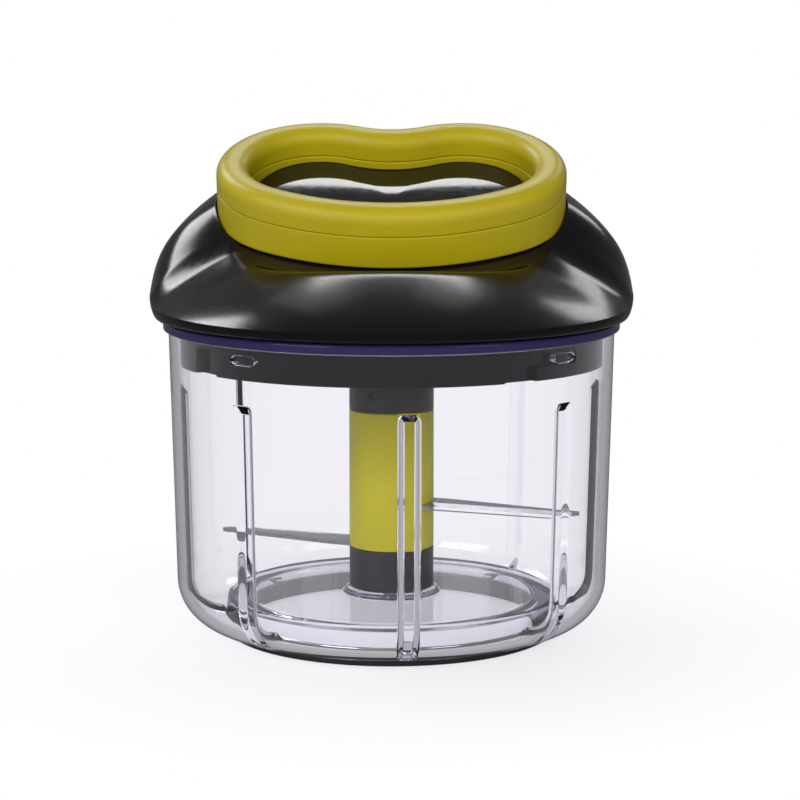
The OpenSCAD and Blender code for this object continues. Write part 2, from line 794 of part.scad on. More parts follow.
// Black lower end of the blade shaft
module shaft_foot() {
    color([0.09, 0.09, 0.1])
    difference() {
        translate([0, 0, foot_bottom]) cylinder(r = shaft_r, h = tube_z0 - foot_bottom);
        translate([0, 0, foot_bottom - 1]) cylinder(r = 5, h = tube_z0 - 1.2 - foot_bottom + 1);
    }
}

// Plain bush that turns on the spindle pin
module pivot_bush() {
    color([0.8, 0.7, 0.4])
    difference() {
        translate([0, 0, foot_bottom + 0.3]) cylinder(r = 5, h = tube_z0 - 1.2 - foot_bottom - 0.3);
        translate([0, 0, foot_bottom - 1]) cylinder(r = pin_r + run_gap, h = 30);
    }
}

// Blade lying along +X with its ground edge towards -Y; reach is the distance of the tip from the axis
module blade(reach) {
    difference() {
        linear_extrude(blade_t)
        difference() {
            union() {
                circle(r = shaft_r - 2.6);
                polygon([[0, -6.5], [shaft_r + 2, -6.5], [reach - 7, -5], [reach - 0.8, 2.4], [shaft_r + 4, 6.5], [0, 6.5]]);
            }
            circle(r = core_r);
        }
        translate([shaft_r + 1, -5.6, 0.15])
        rotate([-16, 0, 1.9])
        translate([0, -8, 0])
        cube([reach, 12.4, 6]);
    }
}

// Upper blade, to the right in front
module upper_blade() {
    color([0.72, 0.74, 0.77])
    translate([0, 0, blade_z])
    rotate([0, 0, blade_az])
    blade(blade_r);
}

// Lower blade, to the left behind
module lower_blade() {
    color([0.72, 0.74, 0.77])
    translate([0, 0, tube_z0])
    rotate([0, 0, blade_az + 180])
    blade(blade_r - 1.7);
}

// Upper half of the handle ring
module handle_top() {
    color([0.6, 0.55, 0.03])
    seat()
    difference() {
        ring_sweep(crown_section);
        ring_screw_places()
        translate([0, 0, -1])
        cylinder(r = ring_screw_r, h = 1 + ring_screw_in);
        translate([0, back_v, -1]) cylinder(r = 3, h = 1.6);
    }
}

// Lower half of the handle ring
module handle_bottom() {
    color([0.6, 0.55, 0.03])
    seat()
    difference() {
        translate([0, 0, -base_h])
        linear_extrude(base_h)
        difference() {
            kidney(ring_w / 2);
            kidney(-ring_w / 2);
        }
        ring_screw_places() {
            translate([0, 0, -base_h - 1]) cylinder(r = ring_screw_r, h = base_h + 2);
            translate([0, 0, -base_h - 1]) cylinder(r = ring_head_r + 0.3, h = 1 + ring_head_gap + ring_head_t);
        }
        translate([0, back_v, -base_h - 1]) cylinder(r = cord_d / 2, h = base_h + 2);
        translate([0, back_v, -5.4]) cylinder(r = 3, h = 7);
    }
}

// Four screws that join the handle's halves
module handle_screws() {
    color([0.7, 0.71, 0.73])
    seat()
    ring_screw_places() {
        translate([0, 0, -base_h + ring_head_gap]) cylinder(r = ring_head_r, h = ring_head_t);
        translate([0, 0, -base_h + ring_head_gap])
        cylinder(r = ring_screw_r, h = base_h - ring_head_gap + ring_screw_in);
    }
}

// Knotted end of the cord, caught in the handle
module cord_knot() {
    color([0.9, 0.9, 0.88])
    seat()
    translate([0, back_v, -2.6])
    difference() {
        sphere(r = 2.7);
        translate([0, 0, -4]) cylinder(r = cord_d / 2, h = 4);
    }
}

// Short cord between the eyelet and the knot
module cord_lead() {
    color([0.9, 0.9, 0.88])
    seat()
    translate([0, back_v, seat_floor - 0.3])
    cylinder(r = cord_d / 2, h = -2.6 - seat_floor + 0.3);
}

bowl();
foot_ring();
spindle_pin();
lid_base();
lid_dome();
top_plate();
lid_gasket();
lid_screws();
drum_axle();
return_spring();
spring_cover();
pulley_pin();
cord_eyelet();
cord_run();
cord_drum();
cord_winding();
guide_pulley();
clutch_hub();
clutch_pawls();
drive_shaft();
retaining_ring();
shaft_collar();
shaft_tube();
shaft_foot();
pivot_bush();
upper_blade();
lower_blade();
handle_top();
handle_bottom();
handle_screws();
cord_knot();
cord_lead();
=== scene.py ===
# %% [markdown]
# # Dressing a hand-pulled food chopper
# The chopper is a clear ribbed bowl with a blade shaft, a gloss black lid that hides a cord drive, and a
# green kidney-shaped ring that pulls the cord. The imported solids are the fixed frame. This script covers
# them with finer skins and finishes, and never moves them, so the drive still works underneath.

# %% Load the frame
import json
import math

import bmesh
import bpy
import numpy as np
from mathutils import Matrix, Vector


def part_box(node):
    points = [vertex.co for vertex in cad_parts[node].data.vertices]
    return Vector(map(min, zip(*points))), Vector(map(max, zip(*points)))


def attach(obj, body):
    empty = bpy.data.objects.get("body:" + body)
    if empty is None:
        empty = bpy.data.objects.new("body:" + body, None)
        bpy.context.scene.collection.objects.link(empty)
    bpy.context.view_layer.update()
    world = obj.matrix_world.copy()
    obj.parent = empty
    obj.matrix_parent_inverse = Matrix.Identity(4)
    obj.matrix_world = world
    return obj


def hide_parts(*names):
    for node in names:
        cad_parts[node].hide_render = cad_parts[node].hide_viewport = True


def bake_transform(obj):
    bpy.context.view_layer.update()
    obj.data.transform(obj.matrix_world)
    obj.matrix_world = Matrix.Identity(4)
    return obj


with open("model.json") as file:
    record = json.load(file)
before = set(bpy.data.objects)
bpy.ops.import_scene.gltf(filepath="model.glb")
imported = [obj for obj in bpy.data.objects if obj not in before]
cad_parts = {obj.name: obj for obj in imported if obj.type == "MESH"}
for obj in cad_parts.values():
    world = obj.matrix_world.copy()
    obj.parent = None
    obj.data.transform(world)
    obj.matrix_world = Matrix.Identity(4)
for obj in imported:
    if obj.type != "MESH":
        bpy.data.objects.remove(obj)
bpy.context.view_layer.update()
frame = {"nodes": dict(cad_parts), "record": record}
MM = 0.001

# %% [markdown]
# ## Outlines with soft corners
# Nothing that comes out of a mould has a knife edge: light always catches a small rounding. A modifier could
# bevel the finished mesh, but here the rounding goes into the outline before it is turned or swept, because
# then every corner has its own radius. Two more points beside each rounding keep the flat faces flat.

# %% Soft outlines
POINTS_PER_MM = 1.4


def soft_outline(corners):
    """Rounded outline; a corner is (across, up, rounding) and a rounding of 0 stays a plain point."""
    outline = []
    for i, (across, up, rounding) in enumerate(corners):
        here = np.array([across, up], float)
        if rounding == 0:
            outline.append(here)
            continue
        back = np.array(corners[i - 1][:2], float) - here
        ahead = np.array(corners[(i + 1) % len(corners)][:2], float) - here
        back /= np.linalg.norm(back)
        ahead /= np.linalg.norm(ahead)
        half = math.acos(back @ ahead) / 2
        middle = here + (back + ahead) / np.linalg.norm(back + ahead) * rounding / math.sin(half)
        start = here + back * rounding / math.tan(half) - middle
        end = here + ahead * rounding / math.tan(half) - middle
        turn = math.atan2(start[0] * end[1] - start[1] * end[0], start @ end)
        steps = max(4, round(POINTS_PER_MM * rounding * abs(turn)))
        for k in range(steps + 1):
            c, s = math.cos(turn * k / steps), math.sin(turn * k / steps)
            outline.append(middle + (c * start[0] - s * start[1], s * start[0] + c * start[1]))
    return np.array(outline)


def held(outline, loop, reach=0.25):
    """Adds a point just inside both ends of each long straight run."""
    out = []
    for i, here in enumerate(outline):
        out.append(here)
        if i + 1 == len(outline) and not loop:
            break
        run = outline[(i + 1) % len(outline)] - here
        length = np.linalg.norm(run)
        if length > 3 * reach:
            out += [here + run * reach / length, here + run * (1 - reach / length)]
    return np.array(out)


# %% [markdown]
# ## From rings of points to a piece
# Turned, swept and lofted skins are all the same thing: rings of points with quads between them. One helper
# weaves the quads whatever made the rings, and another carries an outline round the upright axis.

# %% Weaving
def weave(skin, loop):
    """Quads between neighbouring rings, the last joined to the first; loop closes each ring's outline."""
    rings, points = skin.shape[:2]
    faces = []
    for i in range(rings):
        j = (i + 1) % rings
        for k in range(points if loop else points - 1):
            m = (k + 1) % points
            faces.append((i * points + k, j * points + k, j * points + m, i * points + m))
    return faces


def polar(r, a, z):
    """Points from plan radius, angle and height."""
    r, a, z = np.broadcast_arrays(r, a, z)
    return np.stack([r * np.cos(a), r * np.sin(a), z], -1)


def turned(outline, angles):
    """The outline carried round the upright axis, one ring of points for each angle in degrees."""
    return polar(outline[:, 0], np.radians(angles)[:, None], outline[:, 1])


# %% [markdown]
# A bare mesh becomes a piece in a few steps. Welding close points shuts the poles of turned skins. Every
# closed shell is turned so that its faces look outward, because clear plastic and cuts depend on that. Then
# the piece takes the finish of its slot, rides on its body and hides the solids it stands for.

# %% Placing a piece
WELD, CREASE = 0.004, 32
finishes = {}


def face_outward(skin):
    """Points the faces of every closed shell outward, judged by the sign of the room that it holds."""
    bmesh.ops.recalc_face_normals(skin, faces=skin.faces)
    waiting = set(skin.faces)
    while waiting:
        shell, room, border = [], 0.0, [waiting.pop()]
        while border:
            face = border.pop()
            shell.append(face)
            corners = [v.co for v in face.verts]
            room += sum(corners[0].dot(b.cross(c)) for b, c in zip(corners[1:], corners[2:]))
            found = {f for edge in face.edges for f in edge.link_faces} & waiting
            waiting -= found
            border += found
        if room < 0:
            bmesh.ops.reverse_faces(skin, faces=shell)


def placed(name, data):
    """A new object in the scene."""
    made = bpy.data.objects.new(name, data)
    bpy.context.scene.collection.objects.link(made)
    return made


def closed_object(name, points, faces):
    """An object from points in millimetres, welded and with all faces outward."""
    mesh = bpy.data.meshes.new(name)
    mesh.from_pydata((np.reshape(points, (-1, 3)) * MM).tolist(), [], faces)
    skin = bmesh.new()
    skin.from_mesh(mesh)
    bmesh.ops.remove_doubles(skin, verts=skin.verts, dist=WELD * MM)
    face_outward(skin)
    skin.to_mesh(mesh)
    skin.free()
    return placed(name, mesh)


def piece(name, points, faces, slot, body, stands_for, crease=CREASE):
    """A closed object in the finish of its slot that rides on a body and stands for solids."""
    made = closed_object(name, points, faces)
    made.data.shade_smooth()
    made.data.set_sharp_from_angle(angle=math.radians(crease))
    made.data.materials.append(finishes[slot])
    if body:
        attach(made, body)
    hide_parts(*stands_for)
    print(name, "faces:", len(made.data.polygons), "on", body)
    return made


def turned_piece(name, corners, slot, body, stands_for, count=160):
    """A turned piece from corners with roundings."""
    outline = held(soft_outline(corners), True)
    skin = turned(outline, np.arange(count) * 360 / count)
    return piece(name, skin, weave(skin, True), slot, body, stands_for)


# %% [markdown]
# ## Fields for finishes
# Every finish here grows out of noise in the piece's own coordinates, so nothing has to be unwrapped and the
# grain keeps its real size. A field can be mapped onto a span of values, onto two shades or onto the height
# of the surface. A field knows the tree of nodes it stands in, so a helper needs nothing else.

# %% Fields for finishes
NOISE_SPAN = (0.3, 0.7)


def new_finish(name):
    """A new finish with its nodes, its main shader and the piece's own coordinates."""
    finish = bpy.data.materials.new(name)
    finish.use_nodes = True
    nodes = finish.node_tree.nodes
    return finish, nodes, nodes["Principled BSDF"], nodes.new("ShaderNodeTexCoord").outputs["Object"]


def add(field, kind):
    """A new node in the tree of a field."""
    return field.id_data.nodes.new("ShaderNode" + kind)


def put(node, values):
    """Sets constant values on a node's own sockets."""
    for socket, value in values.items():
        node.inputs[socket].default_value = value
    return node


def wire(field, socket):
    """Leads a field into a socket."""
    field.id_data.links.new(field, socket)


def noise(vector, size, detail=2.0):
    """A noise field whose blobs are about size millimetres across."""
    field = put(add(vector, "TexNoise"), {"Scale": 1 / (size * MM), "Detail": detail})
    wire(vector, field.inputs["Vector"])
    return field.outputs[0]


def between(field, low, high, start=NOISE_SPAN[0], end=NOISE_SPAN[1]):
    """Maps a field onto a span of values."""
    span = add(field, "MapRange")
    put(span, {"From Min": start, "From Max": end, "To Min": low, "To Max": high})
    wire(field, span.inputs["Value"])
    return span.outputs["Result"]


def shades(field, dark, light):
    """Maps a field onto two shades."""
    ramp = add(field, "ValToRGB")
    for stop, place, colour in zip(ramp.color_ramp.elements, NOISE_SPAN, (dark, light)):
        stop.position = place
        stop.color = (*colour, 1)
    wire(field, ramp.inputs["Fac"])
    return ramp.outputs["Color"]


def relief(field, skin, height):
    """Raises the surface by a field, height in millimetres."""
    bump = put(add(field, "Bump"), {"Strength": 1.0, "Distance": height * MM})
    wire(field, bump.inputs["Height"])
    wire(bump.outputs["Normal"], skin.inputs["Normal"])


def coat(skin, clouds, grain, dark, light, gloss, depth):
    """Colour from one field, roughness and relief from another."""
    wire(shades(clouds, dark, light), skin.inputs["Base Color"])
    wire(between(grain, *gloss), skin.inputs["Roughness"])
    relief(grain, skin, depth)


# %% [markdown]
# ## Moulded plastics and rubber
# Moulded plastic is never quite even: the colour drifts with the flow of the melt, and the tool leaves a
# grain in the gloss. One recipe with other numbers gives the black lid, the green handle, the dull shaft ends
# and the rubber foot, so each of them is one row of a table.

# %% Moulded finishes
def moulded(name, colour, gloss, drift, flow, grain, depth, shine=0.5):
    """Moulded plastic or rubber. gloss is the lowest and highest roughness, drift and flow the change of the
    colour and the size of its clouds, grain and depth the tool's marks, shine how strongly it mirrors."""
    finish, _, skin, place = new_finish(name)
    put(skin, {"Specular IOR Level": shine})
    dark = [c * (1 - drift) for c in colour]
    light = [c * (1 + drift) for c in colour]
    coat(skin, noise(place, flow), noise(place, grain, 3), dark, light, gloss, depth)
    return finish


for slot, *row in (
        ("black_gloss", "lid_black", (0.0035, 0.0026, 0.0028), (0.15, 0.20), 0.10, 30, 1.6, 0.0006, 0.3),
        ("inlay_gloss", "inlay_black", (0.0030, 0.0024, 0.0028), (0.03, 0.06), 0.10, 25, 2.0, 0.0003),
        ("green_satin", "handle_green", (0.335, 0.272, 0.0035), (0.36, 0.46), 0.05, 26, 0.35, 0.006),
        # The shaft tube's green is painted lighter than the handle's, standing in for the bright light round
        # it inside the clear bowl.
        ("green_tube", "tube_green", (0.46, 0.42, 0.012), (0.34, 0.44), 0.05, 20, 0.35, 0.005),
        ("black_matte", "shaft_black", (0.020, 0.019, 0.022), (0.34, 0.44), 0.08, 14, 0.4, 0.005),
        ("white_plastic", "drum_white", (0.70, 0.70, 0.66), (0.35, 0.45), 0.04, 12, 0.3, 0.004),
        ("foot_rubber", "foot_rubber", (0.012, 0.012, 0.014), (0.55, 0.70), 0.10, 8, 0.25, 0.010),
        ("gasket_rubber", "gasket_rubber", (0.030, 0.030, 0.034), (0.55, 0.70), 0.10, 8, 0.25, 0.010)):
    finishes[slot] = moulded(*row)
print("moulded finishes:", sorted(finishes))

# %% [markdown]
# ## Metals
# The blades are rolled sheet, so their grain runs in fine lines along the sheet. Pins are ground round and
# screws are zinc plated, so their grain is finer and cloudier. A noise field stretched along one direction
# gives all of them; only the stretch, the colour and the gloss change.

# %% Metal finishes
LINE_SIZE, LINE_DEPTH, LINE_DARK = 0.25, 0.0015, 0.90
BLADE_TURN = -22.7


def ground_metal(name, colour, gloss, stretch, turn=0.0):
    """Bare metal whose grain is stretched along the piece; turn is the grain's direction in degrees."""
    finish, _, skin, place = new_finish(name)
    put(skin, {"Metallic": 1.0})
    lay = put(add(place, "Mapping"), {"Rotation": (0, 0, math.radians(turn)), "Scale": stretch})
    lay.vector_type = "TEXTURE"
    wire(place, lay.inputs["Vector"])
    lines = noise(lay.outputs["Vector"], LINE_SIZE, 4)
    dark = [c * LINE_DARK for c in colour]
    coat(skin, lines, lines, dark, colour, gloss, LINE_DEPTH)
    return finish


for slot, *row in (
        ("blade_steel", "blade_steel", (0.42, 0.435, 0.46), (0.24, 0.36), (40, 1, 1), BLADE_TURN),
        ("pin_steel", "pin_steel", (0.55, 0.56, 0.58), (0.18, 0.28), (6, 6, 0.6)),
        ("screw_steel", "screw_zinc", (0.52, 0.53, 0.55), (0.25, 0.40), (1, 1, 1)),
        ("spring_steel", "spring_blue", (0.34, 0.36, 0.40), (0.22, 0.34), (1, 1, 12)),
        ("bush_brass", "bush_brass", (0.56, 0.42, 0.16), (0.22, 0.34), (6, 6, 0.6))):
    finishes[slot] = ground_metal(*row)
print("metal finishes added, in all:", len(finishes))

# %% [markdown]
# ## Clear bowl plastic
# The bowl is clear with a faint violet cast that only shows where light runs far inside the wall. So the
# surface is colourless glass-like plastic and the cast comes from absorption inside the solid. The flange
# under the lid looks dark violet, seen edge on: partly the plastic's own cast, partly a painted glow, a violet
# colour given by its height for light carried inside it. Lamps have to reach the blades, so shadow rays pass
# straight through.

# %% Clear finish
CLEAR_IOR, CLEAR_ROUGH = 1.43, 0.01
WAVE_SIZE, WAVE_DEPTH = 16, 0.004
SHADOW_TINT = (0.94, 0.935, 0.955, 1)
# The violet of the flange band and the lower clearness there are a painted glow that stands in for light
# carried inside the flange.
FLANGE_LOW, PAINTED_GLOW_VIOLET, PAINTED_GLOW_CLEAR = 87.3, (0.032, 0.024, 0.095), 0.35


def show_either(nodes, share, first, second):
    """Shows a mix of two shaders on the surface; a share of 1 shows only the second."""
    choice = add(share, "MixShader")
    for field, socket in zip((share, first, second), choice.inputs):
        wire(field, socket)
    wire(choice.outputs["Shader"], nodes["Material Output"].inputs["Surface"])


def clear_finish(name, cast, density):
    """Clear plastic with a coloured cast inside; density is in parts per metre."""
    finish, nodes, skin, place = new_finish(name)
    put(skin, {"Roughness": CLEAR_ROUGH, "IOR": CLEAR_IOR})
    relief(noise(place, WAVE_SIZE, 1), skin, WAVE_DEPTH)
    height = nodes.new("ShaderNodeSeparateXYZ")
    wire(place, height.inputs["Vector"])
    # Painted glow: by height the flange band gets a violet colour and lets less light through, standing in for
    # light carried inside it.
    start, end = (FLANGE_LOW - 0.4) * MM, (FLANGE_LOW + 0.2) * MM
    painted_glow_band = between(height.outputs["Z"], 0, 1, start, end)
    wire(shades(painted_glow_band, (1, 1, 1), PAINTED_GLOW_VIOLET), skin.inputs["Base Color"])
    wire(between(painted_glow_band, 1, PAINTED_GLOW_CLEAR, 0, 1), skin.inputs["Transmission Weight"])
    through = put(add(place, "BsdfTransparent"), {"Color": SHADOW_TINT})
    shadow = nodes.new("ShaderNodeLightPath").outputs["Is Shadow Ray"]
    show_either(nodes, shadow, skin.outputs["BSDF"], through.outputs["BSDF"])
    inside = put(add(place, "VolumeAbsorption"), {"Color": (*cast, 1), "Density": density})
    wire(inside.outputs["Volume"], nodes["Material Output"].inputs["Volume"])
    return finish


finishes["clear_plastic"] = clear_finish("bowl_clear", (0.38, 0.20, 0.85), 17)
print("clear finish added, refractive index", CLEAR_IOR)

# %% [markdown]
# ## Bowl
# The bowl is one clear moulding: foot groove, rounded corner, tapering wall, flange, eight upright ribs and
# four bayonet lugs inside, and a raised floor. Ribs and lugs could be joined on as blocks, but faces left
# inside clear plastic would show. Instead the turned inner wall itself is pushed inward where they stand.
# For that its long straight run gets more points, close together at the rib tops and at the lugs.

# %% Bowl outline
FOOT_TOP, FOOT_AIR, GROOVE_R = 2.2, 0.05, 41.8
BOWL_LOW_R, BOWL_TOP_R, BOWL_WALL = 61.6, 63.3, 2.4
CORNER_R, CORNER_Z = 13.6, 15.8
FLANGE_R, RIM_Z = 64.8, 89.9
FLOOR_R, FLOOR_Z, BOSS_R, BOSS_TOP = 47.0, 11.0, 13.4, 12.1
RIB_TOP, RIB_RISE, RIB_HALF, RIB_DEPTH = 71.4, 2.4, 2.25, 2.2
LUG_Z, LUG_HALF, LUG_R, LUG_DEPTH = 83.6, 2.8, 1.3, 2.45


def wall_r(z):
    """Outside radius of the tapering wall."""
    return BOWL_LOW_R + (BOWL_TOP_R - BOWL_LOW_R) * (z - CORNER_Z) / (FLANGE_LOW - CORNER_Z)


bowl_corners = [
    (0, FLOOR_Z - BOWL_WALL, 0), (GROOVE_R - 0.6, FLOOR_Z - BOWL_WALL, 1.2),
    (GROOVE_R, FOOT_TOP + FOOT_AIR, 0.4), (wall_r(FOOT_TOP), FOOT_TOP + FOOT_AIR, CORNER_R),
    (BOWL_TOP_R, FLANGE_LOW, 0.5), (FLANGE_R, FLANGE_LOW, 0.5),
    (FLANGE_R, RIM_Z, 0.7), (BOWL_TOP_R - BOWL_WALL, RIM_Z, 0.6),
    (wall_r(FOOT_TOP + BOWL_WALL) - BOWL_WALL, FOOT_TOP + BOWL_WALL, CORNER_R - BOWL_WALL),
    (FLOOR_R + 1, FOOT_TOP + BOWL_WALL, 0.8), (FLOOR_R, FLOOR_Z, 1.0),
    (BOSS_R, FLOOR_Z, 0.5), (BOSS_R, BOSS_TOP, 0.4), (0, BOSS_TOP, 0)]
bowl_line = held(soft_outline(bowl_corners), False)
levels = np.concatenate([
    np.arange(20, 66, 6), np.arange(RIB_TOP - RIB_RISE - 0.6, RIB_TOP + 0.7, 0.2), np.arange(74, 81, 2.5),
    np.arange(LUG_Z - 1.9, LUG_Z + 1.95, 0.16)])[::-1]
drop = int(np.argmin(np.diff(bowl_line[:, 1])))
high, low = bowl_line[drop], bowl_line[drop + 1]
share = (high[1] - levels) / (high[1] - low[1])
bowl_line = np.vstack([bowl_line[:drop + 1], high + share[:, None] * (low - high), bowl_line[drop + 1:]])
print("bowl outline points:", len(bowl_line))

# %% [markdown]
# The ribs and lugs need close points only where their sides stand, so the angles round the bowl are dense at
# those places and wide elsewhere. A smooth step makes each side a narrow slope with soft edges, like the
# draft that lets a moulding leave its tool.

# %% Angles round the bowl
RIB_AZ, RIB_SOFT = -85.5, 1.1
rib_at = RIB_AZ + np.arange(8) * 45
lug_at = RIB_AZ + 45 + np.arange(4) * 90
degree_per_mm = 180 / math.pi / (BOWL_TOP_R - BOWL_WALL)


def near(angles, middles):
    """Signed distance along the wall from the nearest of the middles, in millimetres."""
    away = (np.asarray(angles)[:, None] - middles[None] + 180) % 360 - 180
    best = np.abs(away).argmin(1)
    return away[np.arange(len(away)), best] / degree_per_mm


rib_side = np.arange(RIB_HALF - RIB_SOFT - 0.15, RIB_HALF + RIB_SOFT + 0.2, 0.15)
rib_steps = np.concatenate([-rib_side[::-1], np.arange(-0.9, 1.0, 0.45), rib_side])
lug_steps = np.concatenate([
    np.arange(-4.5, -2.6, 0.16), np.arange(-2.5, 2.6, 0.5), np.arange(2.66, 4.6, 0.16)])
plain = np.arange(0, 360, 1.5)
plain = plain[(np.abs(near(plain, rib_at)) > 3.6) & (np.abs(near(plain, lug_at)) > 5)]
bowl_angles = np.sort(np.concatenate([
    plain, (rib_at[:, None] + rib_steps * degree_per_mm).ravel() % 360,
    (lug_at[:, None] + lug_steps * degree_per_mm).ravel() % 360]))
print("angles round the bowl:", len(bowl_angles))

# %% [markdown]
# Now the inner wall is pushed inward. A rib runs from the floor up to a short slope at its top; a lug is a
# lying capsule under the flange. Both are measured along the wall, and the push follows the wall's own
# direction, so a rib keeps its depth round the bowl's lower corner.

# %% Bowl ribs and lugs
def smooth(t):
    """A soft step from 0 to 1."""
    t = np.clip(t, 0, 1)
    return t * t * (3 - 2 * t)


along = np.gradient(bowl_line, axis=0)
inward = np.stack([along[:, 1], -along[:, 0]], 1) / np.linalg.norm(along, axis=1)[:, None]
r, z = bowl_line.T
inside = (np.arange(len(r)) > drop) & (r > FLOOR_R + 1)
rib_up = np.clip((RIB_TOP - z) / RIB_RISE, 0, 1) * np.clip((r - FLOOR_R - 1.1) / 0.8, 0, 1) * inside
rib_across = smooth((RIB_HALF + RIB_SOFT - np.abs(near(bowl_angles, rib_at))) / (2 * RIB_SOFT))
lug_x = np.maximum(np.abs(near(bowl_angles, lug_at)) - LUG_HALF, 0)
lug_gap = np.hypot(lug_x[:, None], z[None] - LUG_Z) - LUG_R
push = RIB_DEPTH * rib_across[:, None] * rib_up + LUG_DEPTH * smooth((0.2 - lug_gap) / 0.4) * inside
bowl_skin = turned(bowl_line, bowl_angles) + push[..., None] * turned(inward, bowl_angles)
piece("bowl_clear", bowl_skin, weave(bowl_skin, False), "clear_plastic", "bowl", ["bowl"], crease=70)

# %% [markdown]
# ## Foot ring
# A black anti-slip ring sits in the groove under the bowl. It is a plain turned ring of rubber, so a rounded
# section carried once round the axis is all it needs. A hair of air is left above it.

# %% Foot ring
FOOT_IN, FOOT_OUT = 42.4, round(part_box("foot_ring")[1].x / MM, 2)
turned_piece("foot_ring_rubber", [
    (FOOT_IN, 0, 0.5), (FOOT_OUT, 0, 0.6), (FOOT_OUT, FOOT_TOP, 0.3), (FOOT_IN, FOOT_TOP, 0.3)],
    "foot_rubber", "bowl", ["foot_ring"], count=240)

# %% [markdown]
# ## Blade shaft
# The shaft is three turned sleeves on one core: a black collar, a green tube and a black foot. Where two of
# them meet, both edges are rounded, and the thin dark line between them comes from that groove alone.

# %% Shaft sleeves
SHAFT_R, CORE_R, TUBE_WALL, JOINT = 12.1, 5.6, 2.2, 0.04
FOOT_BORE, COLLAR_BORE = 5.1, 4.2
FOOT_Z, TUBE_Z0, TUBE_Z1, COLLAR_TOP = 12.4, 24.3, 64.0, 79.0
turned_piece("shaft_foot_sleeve", [
    (FOOT_BORE, FOOT_Z, 0.2), (SHAFT_R, FOOT_Z, 0.6), (SHAFT_R, TUBE_Z0 - JOINT, 0.35),
    (FOOT_BORE, TUBE_Z0 - JOINT, 0.2)], "black_matte", "blade", ["shaft_foot"])
turned_piece("shaft_tube_sleeve", [
    (SHAFT_R - TUBE_WALL, TUBE_Z0 + JOINT, 0.2), (SHAFT_R, TUBE_Z0 + JOINT, 0.35),
    (SHAFT_R, TUBE_Z1 - JOINT, 0.35), (SHAFT_R - TUBE_WALL, TUBE_Z1 - JOINT, 0.2)],
    "green_tube", "blade", ["shaft_tube"])

# %% [markdown]
# The collar and the core under the tube are one piece, bored from above for the drive. The collar has a small
# round dimple. A cut could make it, but pulling the points there toward the axis leaves a softer edge, so the
# wall gets close rows and columns of points around that place.

# %% Shaft collar
DIMPLE_AZ, DIMPLE_Z, DIMPLE_R, DIMPLE_DEPTH = -117.0, 69.0, 1.0, 0.55
collar_line = held(soft_outline([
    (0, TUBE_Z0 + 0.1, 0), (CORE_R - 0.1, TUBE_Z0 + 0.1, 0.2), (CORE_R - 0.1, TUBE_Z1 - 0.2, 0),
    (SHAFT_R - 2.3, TUBE_Z1 + JOINT, 0.1), (SHAFT_R, TUBE_Z1 + JOINT, 0.35), (SHAFT_R, COLLAR_TOP, 0.6),
    (COLLAR_BORE, COLLAR_TOP, 0.2), (COLLAR_BORE, TUBE_Z1 + 4, 0), (0, TUBE_Z1 + 4, 0)]), False)
rise = int(np.argmax(np.diff(collar_line[:, 1]) * (collar_line[:-1, 0] > SHAFT_R - 0.05)))
rows = np.arange(DIMPLE_Z - 1.6, DIMPLE_Z + 1.65, 0.1)
close_rows = np.stack([SHAFT_R + 0 * rows, rows], 1)
collar_line = np.vstack([collar_line[:rise + 1], close_rows, collar_line[rise + 1:]])
fan = np.concatenate([np.arange(-8, 8.1, 0.5), np.arange(10, 350, 2.5)]) + DIMPLE_AZ
collar_skin = turned(collar_line, fan)
aside = ((fan - DIMPLE_AZ + 180) % 360 - 180)[:, None] * math.pi / 180 * SHAFT_R
off = np.hypot(aside, collar_line[:, 1] - DIMPLE_Z)
on_wall = collar_line[:, 0] > SHAFT_R - 0.05
sink = DIMPLE_DEPTH * smooth((DIMPLE_R + 0.1 - off) / 0.3) * on_wall
collar_skin[..., :2] *= (1 - sink / SHAFT_R)[..., None]
collar_faces = weave(collar_skin, False)
piece("shaft_collar_sleeve", collar_skin, collar_faces, "black_matte", "blade", ["shaft_collar"])

# %% [markdown]
# ## The handle's own plane
# The green ring lies in a plane that is tilted forward, and the dome's seat, the inlay and the cord follow
# that plane. Its middle line is four arcs that run smoothly into each other: a long front, two round ends and
# a hollow back. Working in the plane's own directions and tilting last keeps every formula flat and simple.

# %% Handle plane and middle line
TILT = math.radians(21)
SEAM_Z = 126.006
END_X, END_V, END_R = 20.45, 4.0, 24.5
FRONT_C, FRONT_R = 36.171, 62.621
BACK_C, BACK_R = 48.204, 24.204
FRONT_A = math.degrees(math.atan2(END_X, FRONT_C - END_V))
BACK_A = math.degrees(math.atan2(END_X, BACK_C - END_V))


def in_seat(uv, up):
    """From the handle's plane to the frame: seam at zero, pull direction up."""
    u, v = uv[..., 0], uv[..., 1]
    return np.stack([u, v * math.cos(TILT) - up * math.sin(TILT),
                     SEAM_Z + v * math.sin(TILT) + up * math.cos(TILT)], -1)


def arc_points(middle, radius, start, end, side, pitch=0.7):
    """Points on an arc, each with its outward direction; side is -1 where the arc is hollow."""
    count = round(abs(end - start) * math.pi / 180 * radius / pitch)
    a = np.radians(start + (end - start) * np.arange(count) / count)
    way = np.stack([np.cos(a), np.sin(a)], 1)
    return np.hstack([np.array(middle) + radius * way, side * way])


bar = np.vstack([
    arc_points((0, FRONT_C), FRONT_R, -90 - FRONT_A, -90 + FRONT_A, 1),
    arc_points((END_X, END_V), END_R, -90 + FRONT_A, 90 + BACK_A, 1),
    arc_points((0, BACK_C), BACK_R, 270 + BACK_A, 270 - BACK_A, -1),
    arc_points((-END_X, END_V), END_R, 90 - BACK_A, 270 - FRONT_A, 1)])
bar_mid, bar_out = bar[:, :2], bar[:, 2:]


def kidney(grow):
    """The middle line moved outward by grow."""
    return bar_mid + grow * bar_out


print("points round the handle:", len(bar))

